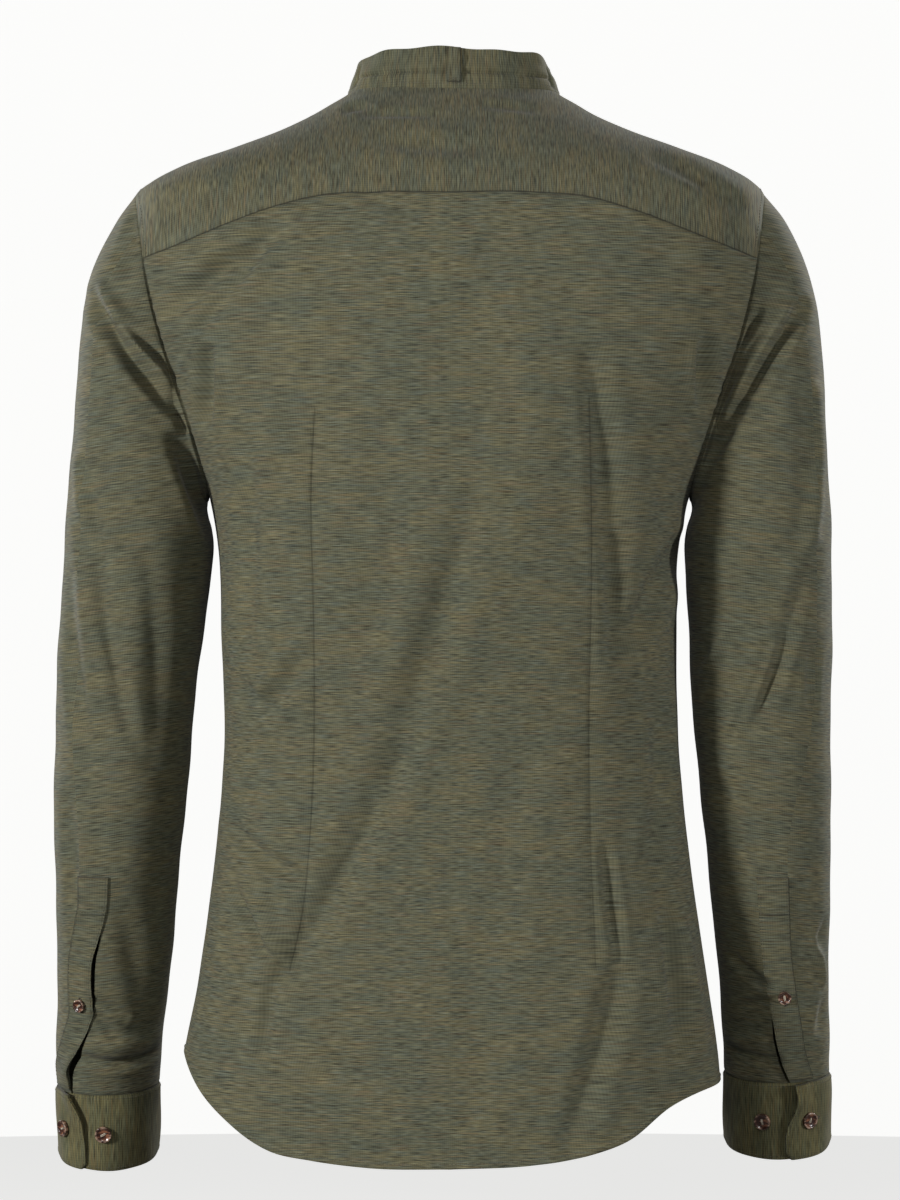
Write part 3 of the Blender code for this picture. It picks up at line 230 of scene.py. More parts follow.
# Creases and swells by piece, in the plane seen from behind: start, middle and end, half width and depth
# (a ridge is negative), all in millimetres.
Fold = namedtuple("Fold", "x0 z0 x1 z1 x2 z2 width depth")
FOLDS = {
    "yoke": (
        Fold(60, -18, 37, -18, 14, -19, 3.0, 2.2),
        Fold(-24, -12, -41, -13, -57, -15, 3.0, 1.9),
        Fold(46, -39, 11, -43, -24, -44, 6.0, 2.6),
        Fold(-136, -48, -159, -58, -191, -79, 6.0, 3.2),
        Fold(70, -14, 64, -12, 57, -13, 3.0, 2.9),
        Fold(163, -91, 146, -75, 125, -63, 6.0, 2.2),
    ),
    "back": (
        Fold(118, -103, 153, -127, 183, -148, 8.0, 9.2),
        Fold(129, -120, 144, -138, 166, -164, 6.0, 7.0),
        Fold(116, -116, 143, -142, 169, -178, 4.6, -3.2),
        Fold(56, -77, 41, -83, 27, -87, 4.6, 2.7),
        Fold(-31, -103, -21, -117, -14, -119, 5.3, 2.7),
        Fold(163, -181, 164, -204, 165, -227, 4.6, 8.6),
        Fold(-172, -174, -171, -192, -170, -213, 4.6, 8.1),
        Fold(-94, -186, -102, -247, -108, -314, 8.0, 7.0),
        Fold(-108, -310, -110, -347, -111, -380, 6.6, 6.5),
        Fold(-155, -312, -136, -347, -114, -382, 8.0, 7.6),
        Fold(-126, -234, -129, -281, -131, -320, 7.3, -3.2),
        Fold(-13, -285, 9, -374, 37, -461, 10.0, 5.9),
        Fold(37, -457, 70, -523, 108, -594, 10.6, 8.1),
        Fold(20, -294, 37, -374, 66, -453, 9.3, -3.2),
        Fold(142, -407, 125, -417, 100, -390, 6.6, 5.9),
        Fold(146, -502, 125, -521, 100, -532, 5.3, 6.5),
        Fold(135, -538, 125, -563, 116, -590, 6.0, -4.3),
        Fold(147, -542, 133, -569, 112, -600, 3.3, 4.9),
        Fold(-104, -515, -108, -550, -113, -586, 4.0, 5.4),
        Fold(-155, -565, -163, -606, -171, -648, 6.0, -4.9),
        Fold(-143, -546, -150, -599, -155, -652, 4.6, 3.8),
        Fold(117, -596, 122, -623, 125, -650, 4.6, 3.8),
        Fold(-113, -596, -98, -652, -80, -711, 8.6, 5.9),
        Fold(100, -643, 79, -657, 58, -666, 9.3, 3.5),
        Fold(46, -227, 42, -294, 49, -360, 15.9, 3.0),
        Fold(-46, -141, -58, -214, -53, -281, 15.9, -2.4),
        Fold(-8, -546, -21, -613, -13, -679, 15.9, 3.0),
        Fold(-49, -453, -35, -513, -41, -579, 12.0, 2.4),
        Fold(139, -241, 135, -307, 139, -374, 6.0, 3.8),
        Fold(-139, -413, -142, -473, -136, -533, 6.6, 3.8),
    ),
    "left": (
        Fold(223, -158, 204, -176, 185, -196, 3.1, 6.5),
        Fold(245, -140, 219, -180, 174, -232, 4.8, 8.7),
        Fold(236, -136, 208, -176, 171, -218, 4.1, -3.4),
        Fold(186, -197, 180, -213, 175, -228, 5.5, 8.0),
        Fold(184, -239, 171, -272, 160, -302, 6.2, 8.0),
        Fold(254, -252, 249, -285, 243, -317, 4.1, -3.6),
        Fold(248, -289, 234, -374, 214, -444, 5.5, 5.3),
        Fold(262, -333, 256, -395, 245, -459, 5.5, 4.2),
        Fold(249, -258, 237, -320, 225, -394, 5.5, 3.6),
        Fold(205, -320, 200, -388, 205, -457, 6.8, 3.4),
        Fold(242, -622, 233, -626, 223, -632, 3.0, 3.6),
        Fold(243, -631, 237, -639, 230, -647, 3.0, 3.2),
        Fold(253, -663, 226, -667, 200, -660, 3.4, 5.3),
        Fold(248, -653, 226, -654, 201, -650, 4.8, -3.4),
        Fold(226, -552, 216, -594, 212, -635, 7.5, 2.5),
        Fold(263, -484, 259, -518, 258, -556, 4.8, 2.7),
        Fold(207, -83, 216, -104, 221, -135, 5.5, 2.5),
    ),
    "right": (
        Fold(-210, -153, -201, -165, -193, -177, 3.1, 6.5),
        Fold(-240, -148, -218, -181, -197, -218, 4.8, 8.7),
        Fold(-197, -215, -186, -235, -175, -252, 4.8, 8.0),
        Fold(-229, -152, -207, -187, -186, -224, 4.1, -3.4),
        Fold(-191, -187, -182, -213, -173, -239, 5.5, 8.0),
        Fold(-251, -205, -248, -289, -229, -361, 5.5, -4.2),
        Fold(-229, -361, -214, -395, -198, -427, 4.8, -3.4),
        Fold(-245, -314, -226, -374, -207, -433, 5.5, 6.1),
        Fold(-216, -376, -204, -409, -191, -442, 3.0, 3.6),
        Fold(-188, -364, -182, -381, -174, -398, 3.4, -3.2),
        Fold(-247, -380, -246, -403, -245, -427, 3.4, 3.2),
        Fold(-195, -592, -206, -603, -218, -611, 3.0, 4.6),
        Fold(-200, -626, -210, -624, -221, -622, 3.0, 3.8),
        Fold(-251, -583, -254, -596, -258, -609, 3.4, -3.8),
        Fold(-260, -570, -258, -578, -255, -585, 4.1, 4.2),
        Fold(-260, -625, -258, -635, -255, -644, 4.1, 3.8),
        Fold(-190, -657, -207, -663, -225, -663, 3.1, 4.2),
        Fold(-190, -646, -205, -651, -221, -648, 4.1, -3.0),
        Fold(-182, -470, -195, -505, -200, -542, 6.2, 3.4),
    ),
    "front": (
        Fold(150, -255, 130, -300, 98, -340, 9.0, 2.8),
        Fold(160, -225, 135, -262, 98, -290, 7.0, 1.8),
        Fold(-152, -250, -128, -292, -86, -330, 10.0, 3.0),
        Fold(-160, -220, -140, -245, -110, -262, 7.0, 1.6),
        Fold(70, -440, 85, -520, 115, -600, 12.0, 2.4),
        Fold(-66, -460, -88, -540, -112, -630, 12.0, 2.4),
        Fold(120, -400, 104, -430, 70, -446, 9.0, 1.8),
        Fold(-130, -380, -100, -420, -60, -440, 9.0, 2.0),
        Fold(60, -120, 70, -200, 66, -280, 18.0, 1.2),
        Fold(-70, -110, -60, -180, -72, -270, 18.0, 1.2),
        Fold(100, -610, 106, -650, 100, -690, 10.0, -1.4),
        Fold(-120, -600, -110, -640, -104, -690, 10.0, -1.4),
        Fold(55, -560, 60, -620, 52, -690, 9.0, 1.3),
        Fold(-50, -300, -60, -380, -48, -450, 12.0, 1.3),
    ),
    "left_front": (
        Fold(224, -150, 206, -190, 176, -226, 6.0, 4.0),
        Fold(236, -190, 206, -226, 172, -262, 7.0, 3.6),
        Fold(196, -215, 182, -250, 170, -290, 6.0, 3.0),
        Fold(252, -330, 232, -390, 200, -420, 7.0, 3.0),
        Fold(262, -380, 240, -420, 205, -455, 6.0, 2.4),
        Fold(226, -440, 230, -520, 222, -600, 9.0, 2.0),
        Fold(256, -640, 235, -652, 212, -646, 4.0, 2.0),
    ),
    "right_front": (
        Fold(-222, -146, -204, -184, -176, -216, 6.0, 4.0),
        Fold(-238, -196, -208, -230, -174, -260, 7.0, 3.6),
        Fold(-198, -210, -184, -246, -170, -284, 6.0, 3.0),
        Fold(-250, -320, -226, -376, -192, -410, 7.0, 3.0),
        Fold(-256, -392, -232, -430, -196, -462, 6.0, 2.2),
        Fold(-214, -450, -222, -530, -214, -600, 9.0, 2.0),
        Fold(-250, -632, -228, -644, -204, -636, 4.0, 2.0),
    ),
}
FOLD_PLACES = 80  # along each fold's curve
FOLD_FADE = 0.005  # folds die out this close to a seam of the armhole

# Seams of the two back darts.
Dart = namedtuple("Dart", "x z")
DARTS = {
    "left": (
        Dart(0.0896, -0.2169),
        Dart(0.0910, -0.2408),
        Dart(0.0923, -0.2733),
        Dart(0.0910, -0.3563),
        Dart(0.0910, -0.4400),
        Dart(0.0936, -0.5024),
        Dart(0.1003, -0.5648),
        Dart(0.1082, -0.5987),
    ),
    "right": (
        Dart(-0.0923, -0.2089),
        Dart(-0.0936, -0.2607),
        Dart(-0.0943, -0.3145),
        Dart(-0.0930, -0.4400),
        Dart(-0.0943, -0.5150),
        Dart(-0.0963, -0.5648),
        Dart(-0.0976, -0.5953),
    ),
}

# Hems, sewing lines and the camera.
HEM_WIDTH = 0.0042
HEM_EXTRA = 0.00045
HEM_STITCH = HEM_WIDTH - 0.0007
ARM_STITCH = 0.0062  # sewing on the yoke, from the armhole's seam
PLACKET_STITCH = 0.0035  # sewing on the front placket, from its edges
CUFF_RADIUS = 0.040  # turns a turn round a cuff into a length
VIEW_HALF = 0.414  # half of what the camera sees in height, at the shoulders

# How far a sleeve's slit stands open beside its strip.
Opening = namedtuple("Opening", "z left right")
OPENING = (
    Opening(-0.5580, -0.0012, -0.0012),
    Opening(-0.5640, -0.0012, -0.0012),
    Opening(-0.5800, 0.0008, -0.0008),
    Opening(-0.5930, 0.0020, 0.0002),
    Opening(-0.6080, 0.0022, 0.0002),
    Opening(-0.6200, 0.0014, -0.0004),
    Opening(-0.6310, 0.0004, 0.0002),
    Opening(-0.6390, -0.0004, 0.0014),
    Opening(-0.6490, 0.0014, 0.0022),
    Opening(-0.6590, 0.0030, 0.0022),
    Opening(-0.6690, 0.0050, 0.0026),
    Opening(-0.6850, 0.0016, 0.0016),
)
PLACKET_BOX = 0.0265  # the sewn box over the slit, from the strip's top
PLACKET_BUTTON_COLUMN = {"left": 11, "right": 9}
DART_SHADE = 0.42  # how strongly the painted shade along the darts shows

# The overlapping end of each cuff, in degrees on its ring, by how far down it is.
CuffEnd = namedtuple("CuffEnd", "fall left right")
CUFF_ENDS = (
    CuffEnd(0.00, 50.0, 77.0),
    CuffEnd(0.20, 61.0, 75.0),
    CuffEnd(0.35, 66.5, 77.0),
    CuffEnd(0.50, 68.0, 82.5),
    CuffEnd(0.70, 69.5, 86.0),
    CuffEnd(1.00, 69.0, 85.0),
)
CUFF_GAPE = {"left": 0.0040, "right": 0.0052}
CUFF_GAPE_FALL = {"left": (0.9, 0.0), "right": (0.75, 0.10)}  # where the gape is nothing and where it is full
CUFF_CORNER = 0.0030  # the rounded corner of the overlapping end

CHART_RADIUS = 0.16  # turns a turn round the body into a length
EVENING_ROUNDS = 400

# Grids: how many cells the plan of each piece has, and how many small cells fill each of them.
FINE = 10
SLEEVE_FINE = 6
SLEEVE_ROWS = 230
ARM_CELLS = {"yoke": 7, "back": 8, "front": 8}
SIDE_CELLS = 12
FRONT_SEAM_CELLS = 4
NECK_BACK_CELLS = 14
NECK_FRONT_CELLS = 5

# Buttons.
BUTTON = 0.0115
SMALL_BUTTON = 0.0090
BUTTON_HEIGHT = 0.0024
FRONT_BUTTON_TOP = -0.118
FRONT_BUTTON_STEP = 0.0860
FRONT_BUTTONS = 6
CUFF_BUTTONS = (-18, 31)  # degrees from the overlapping edge: the fastened one and the spare one
PLACKET_BUTTON_Z = {"left": -0.6255, "right": -0.6200}

# Hanger loop on the back of the band.
LOOP_WIDTH = 0.0095
LOOP_LIFT = 0.0016

# Steps of the dish in a button's face: inwards by a share of its width, up by a share of its height.
DISH = ((0.085, 0.00), (0.050, -0.20), (0.080, -0.16), (0.120, -0.05))
BUTTON_SEAT = 0.0004  # between a button's back and the cloth

# Stitches of a buttonhole: their distance, half their width, places across the cut and up, and their faces.
HOLE_PITCH = 0.00042
HOLE_HALF = 0.00017
HOLE_PROFILE = ((0.00012, 0.0001), (0.0003, 0.00042), (0.0009, 0.00042), (0.0012, -0.0001))
HOLE_FACES = ((2, 3, 1, 0), (4, 5, 3, 2), (6, 7, 5, 4), (0, 2, 4, 6), (7, 5, 3, 1), (0, 6, 7, 1))


# ---- smooth curves through the tables ----
def hermite(start, end, leaving, arriving, t):
    """Between start at t = 0 and end at t = 1, with the slopes there."""
    return (
        start * (1 + 2 * t) * (1 - t) ** 2
        + end * t * t * (3 - 2 * t)
        + leaving * t * (1 - t) ** 2
        - arriving * t * t * (1 - t)
    )


def smooth(knots, values, at):
    """Value at each of at, on a smooth curve through rows of values at the knots."""
    knots = np.asarray(knots, float)
    values = np.asarray(values, float)
    slopes = np.gradient(values, knots, axis=0)
    at = np.clip(np.asarray(at, float), knots[0], knots[-1])
    low = np.clip(np.searchsorted(knots, at, side="right") - 1, 0, len(knots) - 2)
    span = knots[low + 1] - knots[low]
    t = (at - knots[low]) / span
    extra = values.ndim - 1
    t = t.reshape(t.shape + (1,) * extra)
    span = span.reshape(span.shape + (1,) * extra)
    return hermite(values[low], values[low + 1], slopes[low] * span, slopes[low + 1] * span, t)


def column(rows, name):
    return np.array([getattr(row, name) for row in rows], float)


def ease(low, high, value):
    """0 below low, 1 above high and smooth between them."""
    t = np.clip((np.asarray(value, float) - low) / (high - low), 0, 1)
    return t * t * (3 - 2 * t)


def bump(away, width):
    """1 where away is 0 and next to nothing a few widths from there."""
    return np.exp(-((away / width) ** 2))


BODY_Z = column(BODY, "z")
BODY_DOWN = np.concatenate(([0], np.cumsum(np.hypot(np.diff(BODY_Z), np.diff(column(BODY, "left"))))))
BODY_TABLE = np.array(BODY, float)
FINE_DOWN = np.linspace(0, BODY_DOWN[-1], 1500)
FINE_Z = smooth(BODY_DOWN, BODY_Z, FINE_DOWN)


def down_at(z):
    """Distance down the side of the body at a height."""
    return np.interp(-np.asarray(z, float), -FINE_Z, FINE_DOWN)


# ---- the body's surface ----
def body_base(turn, down):
    """Points of the body without folds. turn is in radians from the centre back towards the left."""
    z, left, right, back, front, square = np.moveaxis(smooth(BODY_DOWN, BODY_TABLE, down), -1, 0)
    sine, cosine = np.sin(turn), np.cos(turn)
    half = np.where(sine >= 0, left, right)
    deep = np.where(cosine >= 0, back, front)
    reach = (np.abs(sine / half) ** square + np.abs(cosine / deep) ** square) ** (-1 / square)
    return np.stack([reach * sine, reach * cosine, z], -1)


def unit(vectors):
    return vectors / np.linalg.norm(vectors, axis=-1, keepdims=True)


def body_normal(turn, down):
    step = 1e-4
    across = body_base(turn + step, down) - body_base(turn - step, down)
    along = body_base(turn, down + step) - body_base(turn, down - step)
    return unit(np.cross(across, along))


def side_x(side, y, z):
    """x of the body's surface at a depth y and a height z."""
    _, left, right, back, front, square = np.moveaxis(smooth(BODY_DOWN, BODY_TABLE, down_at(z)), -1, 0)
    half = left if side == "left" else right
    deep = np.where(np.asarray(y) >= 0, back, front)
    x = half * (1 - np.abs(y / deep) ** square) ** (1 / square)
    return x if side == "left" else -x


def arm_loop(side, beta):
    """Armhole at beta radians from its top, towards the back."""
    cosine, sine = np.cos(beta), np.sin(beta)
    reach = (np.abs(cosine) ** ARM_ROUND + np.abs(sine) ** ARM_ROUND) ** (-1 / ARM_ROUND)
    z = (ARM_TOP + ARM_FOOT) / 2 + (ARM_TOP - ARM_FOOT) / 2 * cosine * reach
    y = np.where(sine >= 0, ARM_BACK, -ARM_FRONT) * sine * reach
    return np.stack([side_x(side, y, z), y, z], -1)


def to_chart(points):
    """(turn, down) of points on the body, from their place and height."""
    return np.stack([np.arctan2(points[..., 0], points[..., 1]), down_at(points[..., 2])], -1)


def plan_to_chart(x, y):
    """(turn, down) of the body's point over a place in plan, near the neck and the shoulders."""
    x, y = np.broadcast_arrays(np.asarray(x, float), np.asarray(y, float))
    low, high = np.zeros(x.shape), np.full(x.shape, float(down_at(-0.2)))
    turn = np.arctan2(x, y)
    wanted = np.hypot(x, y)
    for _ in range(40):
        middle = (low + high) / 2
        found = np.hypot(*np.moveaxis(body_base(turn, middle)[..., :2], -1, 0))
        low = np.where(found < wanted, middle, low)
        high = np.where(found < wanted, high, middle)
    return np.stack([turn, (low + high) / 2], -1)


def neck_plan(turn):
    y = np.where(np.cos(turn) >= 0, NECK_BACK, NECK_FRONT) * np.cos(turn) + NECK_MIDDLE_Y
    return NECK_HALF * np.sin(turn) + NECK_MIDDLE_X, y


def clear_of_armhole(points):
    """0 on the armhole seams and 1 away from them."""
    weight = np.ones(points.shape[:-1])
    for side in ("left", "right"):
        loop = arm_loop(side, np.linspace(0, 2 * math.pi, 73))
        nearest = np.full(points.shape[:-1], 9.0)
        for place in loop:
            nearest = np.minimum(nearest, np.linalg.norm(points - place, axis=-1))
        weight = np.minimum(weight, ease(0.002, FOLD_FADE, nearest))
    return weight


# ---- seams of the body, as places in its chart ----
def back_seam_z(x):
    fall = smooth(column(YOKE_FALL, "across"), column(YOKE_FALL, "share"), np.abs(x))
    return YOKE_Z + (YOKE_END_Z - YOKE_Z) * fall


def seam_turn():
    """Place of the yoke's back seam on the armhole loop, in radians from its top."""
    turns = np.linspace(0.2, 2.0, 400)
    heights = arm_loop("left", turns)[:, 2]
    return float(np.interp(-YOKE_END_Z, -heights, turns))


BACK_SEAM_TURN = seam_turn()
ARM_STOPS = {
    "yoke": (math.radians(FRONT_SEAM_TURN), BACK_SEAM_TURN),
    "back": (BACK_SEAM_TURN, math.pi),
    "front": (math.radians(FRONT_SEAM_TURN), -math.pi),
}
SIGN = {"left": 1, "right": -1}


def arm_turns(part, fine=1):
    return np.linspace(*ARM_STOPS[part], ARM_CELLS[part] * fine + 1)


def side_heights(side, fine=1):
    foot = HEM_LEFT_Z if side == "left" else HEM_RIGHT_Z
    return np.linspace(ARM_FOOT, foot, SIDE_CELLS * fine + 1)[1:]


def outer_edge(side, part, fine=1):
    """Chart places down the armhole and the side seam of the back or a front."""
    arm = to_chart(arm_loop(side, arm_turns(part, fine)))
    heights = side_heights(side, fine)
    seam = np.stack([np.full(heights.shape, SIGN[side] * math.pi / 2), down_at(heights)], -1)
    return np.concatenate([arm, seam])


def back_seam(cells):
    """Chart places along the yoke's back seam, from right to left."""
    ends = [to_chart(arm_loop(side, BACK_SEAM_TURN))[0] for side in ("right", "left")]
    turn = np.linspace(ends[0], ends[1], cells + 1)
    down = np.full(turn.shape, float(down_at(YOKE_Z)))
    for _ in range(12):
        down = down_at(back_seam_z(body_base(turn, down)[:, 0]))
    return np.stack([turn, down], -1)


def front_seam(side, fine=1):
    """Chart places along the yoke's front seam, from the armhole to the neck."""
    start = arm_loop(side, math.radians(FRONT_SEAM_TURN))
    corner = neck_plan(SIGN[side] * math.radians(NECK_CORNER))
    t = np.linspace(0, 1, FRONT_SEAM_CELLS * fine + 1)
    seam = plan_to_chart(start[0] + (corner[0] - start[0]) * t, start[1] + (corner[1] - start[1]) * t)
    seam[0] = to_chart(start)
    return seam


def neck_seam(turns):
    seam = plan_to_chart(*neck_plan(turns))
    seam[..., 0] += 2 * math.pi * np.round((turns - seam[..., 0]) / (2 * math.pi))
    return seam


def lapped_turn(x, down, side):
    """turn of the body's front point at x, on the far side of the half turn for a lapped edge."""
    turn = np.full(np.shape(down), math.pi)
    for _ in range(12):
        y = body_base(turn, down)[..., 1]
        turn = np.arctan2(x, -y) + math.pi
    return SIGN[side] * turn


def hem_z(side, turn, back):
    """Height of the hem at a turn."""
    place = body_base(turn, np.full(np.shape(turn), float(down_at(HEM_BACK_Z + 0.03))))
    across = np.clip(np.abs(place[..., 0]) / float(np.abs(side_x(side, 0.0, HEM_BACK_Z + 0.03))), 0, 1)
    share = smooth(column(HEM, "across"), column(HEM, side), across)
    middle = HEM_BACK_Z if back else HEM_FRONT_Z
    ends = HEM_LEFT_Z if side == "left" else HEM_RIGHT_Z
    return middle + (ends - middle) * share


def patch(top, bottom, left, right):
    """Chart places inside four edges. top and bottom run left to right, left and right run down."""
    s = np.linspace(0, 1, len(top))[None, :, None]
    t = np.linspace(0, 1, len(left))[:, None, None]
    ruled = (1 - t) * top[None] + t * bottom[None] + (1 - s) * left[:, None] + s * right[:, None]
    corners = (
        (1 - s) * (1 - t) * top[0]
        + s * (1 - t) * top[-1]
        + (1 - s) * t * bottom[0]
        + s * t * bottom[-1]
    )
    return ruled - corners


def evened(chart):
    """Moves the inner places of a grid until its lines run evenly and no cell folds over its neighbour."""
    at = chart * (CHART_RADIUS, 1)
    for _ in range(EVENING_ROUNDS):
        row = (at[1:-1, 2:] - at[1:-1, :-2]) / 2
        line = (at[2:, 1:-1] - at[:-2, 1:-1]) / 2
        a = np.sum(line * line, -1, keepdims=True)
        b = np.sum(row * line, -1, keepdims=True)
        c = np.sum(row * row, -1, keepdims=True)
        slant = at[2:, 2:] - at[2:, :-2] - at[:-2, 2:] + at[:-2, :-2]
        pull = a * (at[1:-1, 2:] + at[1:-1, :-2]) + c * (at[2:, 1:-1] + at[:-2, 1:-1]) - b * slant / 2
        at[1:-1, 1:-1] = pull / (2 * (a + c))
    return at / (CHART_RADIUS, 1)


# ---- sleeves ----
def ring_points(side, row, beta):
    """A sleeve ring: beta is 0 at the outer point and a quarter turn at the back."""
    outer = np.array([row.outer_x, 0, row.outer_z])
    inner = np.array([row.inner_x, 0, row.inner_z])
    middle = (outer + inner) / 2 + np.array([0, row.middle, 0])
    half = (outer - inner) / 2
    square = 2 + (ARM_ROUND - 2) * float(ease(-0.42, -0.20, row.inner_z))
    cosine, sine = np.cos(beta), np.sin(beta)
    reach = ((np.abs(cosine) ** square + np.abs(sine) ** square) ** (-1 / square))[..., None]
    points = middle + cosine[..., None] * reach * half
    points = points + sine[..., None] * reach * np.array([0, row.deep, -row.drop])
    points[..., 0] *= SIGN[side]
    return points


def tube(side, rows, beta, v, first=None):
    """Points on a tube through rows of rings, at beta and at v rings down."""
    beta, v = np.broadcast_arrays(np.asarray(beta, float), np.asarray(v, float))
    rings = [] if first is None else [first(side, beta)]
    rings += [ring_points(side, row, beta) for row in rows]
    stack = np.array(rings)
    slopes = np.gradient(stack, axis=0)
    v = np.clip(v, 0, len(stack) - 1)
    low = np.clip(v.astype(int), 0, len(stack) - 2)
    t = (v - low)[..., None]

    def pick(values, index):
        return np.take_along_axis(values, index[None, ..., None], 0)[0]

    return hermite(pick(stack, low), pick(stack, low + 1), pick(slopes, low), pick(slopes, low + 1), t)


def tube_normal(side, rows, beta, v, first=None):
    step = 1e-3
    across = tube(side, rows, beta + step, v, first) - tube(side, rows, beta - step, v, first)
    along = tube(side, rows, beta, v + step, first) - tube(side, rows, beta, v - step, first)
    return unit(np.cross(along, across)) * SIGN[side]


def placket_edge(side, z):
    rows = PLACKET_EDGE[::-1]
    return np.radians(smooth(column(rows, "z"), column(rows, side), z))


# ---- collar ----
def band_surface(turn, share, step=0.0):
    """(points, normals) of the collar band; share is 0 on the neck seam and 1 on the top edge."""
    turn, share = np.broadcast_arrays(np.asarray(turn, float), np.asarray(share, float))
    x, y = neck_plan(turn)
    base = body_base(*np.moveaxis(neck_seam(turn), -1, 0))
    side = np.abs(np.degrees((turn + math.pi) % (2 * math.pi) - math.pi))
    height = smooth(column(BAND, "turn"), column(BAND, "height"), side)
    lean = smooth(column(BAND, "turn"), column(BAND, "lean"), side)
    gone_x, gone_y = (x - NECK_MIDDLE_X) / NECK_HALF**2, (y - NECK_MIDDLE_Y) / NECK_BACK**2
    outward = unit(np.stack([gone_x, gone_y, np.zeros(x.shape)], -1))
    up = np.array([0.0, 0.0, 1.0])
    tilt = (lean / height)[..., None]
    normals = unit(outward + up * tilt)
    points = base + up * (share * height + 2 * GAP * (1 - share))[..., None]
    points = points - outward * (lean * share + BAND_INSET)[..., None]
    return points + normals * np.asarray(step)[..., None], normals


# ---- sizes and colours that a user may change ----
def length(name, description, default):
    return FloatProperty(name=name, description=description, default=default, min=0, unit="LENGTH", precision=5)


def share(name, description, default):
    return FloatProperty(name=name, description=description, default=default, min=0, max=1, subtype="FACTOR")


def colour(name, description, default):
    return FloatVectorProperty(
        name=name, description=description, default=default, size=3, min=0, max=1, subtype="COLOR"
    )


class ShirtCloth(bpy.types.PropertyGroup):
    olive: colour("Olive", "Colour of most of the thread", (0.116, 0.118, 0.072))
    warm: colour("Warm olive", "Where the cloth leans to yellow", (0.136, 0.124, 0.066))
    grey: colour("Grey", "Blue-grey thread in the weft", (0.098, 0.118, 0.098))
    brown: colour("Brown", "Warm brown thread in the weft", (0.158, 0.108, 0.056))
    streak: length("Streak", "Length of one slub of thread", 0.018)
    thread: length("Thread", "Width of one slub of thread", 0.00072)
    twill: length("Twill", "Distance between two ribs of the twill", 0.0017)
    relief: length("Relief", "Depth of the weave", 0.00016)
    waver: length("Waver", "Height of the broad unevenness of hanging cloth", 0.0006)


class ShirtSewing(bpy.types.PropertyGroup):
    pitch: length("Pitch", "Distance between two stitches", 0.0027)
    stitch: length("Stitch", "Length of the thread that shows of one stitch", 0.0020)
    width: length("Width", "Thickness of the sewing thread", 0.00034)
    thread: colour("Thread", "Colour of the sewing thread", (0.150, 0.140, 0.095))
    pale: colour("Button thread", "Colour of the thread through the buttons", (0.66, 0.58, 0.46))


class ShirtButtons(bpy.types.PropertyGroup):
    horn: colour("Horn", "Body of the buttons", (0.045, 0.014, 0.008))
    copper: colour("Copper", "Light streaks in the buttons", (0.36, 0.150, 0.080))
    # Rim colour: partly the horn's own paler edge, partly a painted highlight.
    rim: colour("Rim", "Pale edge of the buttons", (0.50, 0.36, 0.27))
    sides: IntProperty(name="Sides", description="Sides of a button's outline", default=48, min=12, max=96)


class ShirtStudio(bpy.types.PropertyGroup):
    ground: colour("Ground", "Colour of the floor and the wall behind", (0.86, 0.86, 0.85))
    drop: length("Drop", "How far the floor lies under the shoulders", 1.45)
    distance: length("Distance", "From the camera to the shoulders", 3.2)
    middle: length("Middle", "How far under the shoulders the camera looks", 0.347)
    key: FloatProperty(name="Key", description="Power of the main light", default=62, min=0, unit="POWER")
    fill: FloatProperty(name="Fill", description="Power of the light in front", default=58, min=0, unit="POWER")
    air: share("Air", "Light that comes evenly from all round", 0.10)


# ---- shader expressions ----
class Wire:
    """A shader socket that takes part in sums."""

    def __init__(self, tree, socket):
        self.tree, self.socket = tree, socket

    def sum(self, operation, *values):
        made = self.tree.nodes.new("ShaderNodeMath")
        made.operation = operation
        for slot, value in zip(made.inputs, values):
            put(self.tree, value, slot)
        return Wire(self.tree, made.outputs[0])

    def __add__(self, other):
        return self.sum("ADD", self, other)

    def __sub__(self, other):
        return self.sum("SUBTRACT", self, other)

    def __rsub__(self, other):
        return self.sum("SUBTRACT", other, self)

    def __mul__(self, other):
        return self.sum("MULTIPLY", self, other)

    __radd__, __rmul__ = __add__, __mul__

    def sine(self):
        return self.sum("SINE", self)

    def between(self, low, high):
        """0 at low, 1 at high and smooth between them."""
        made = self.tree.nodes.new("ShaderNodeMapRange")
        made.interpolation_type = "SMOOTHSTEP"
        for slot, value in (("Value", self), ("From Min", low), ("From Max", high)):
            put(self.tree, value, made.inputs[slot])
        return Wire(self.tree, made.outputs["Result"])


def put(tree, value, slot):
    if isinstance(value, Wire):
        tree.links.new(value.socket, slot)
    elif isinstance(value, (int, float)) or slot.type != "RGBA":
        slot.default_value = value
    else:
        slot.default_value = (*value, 1)


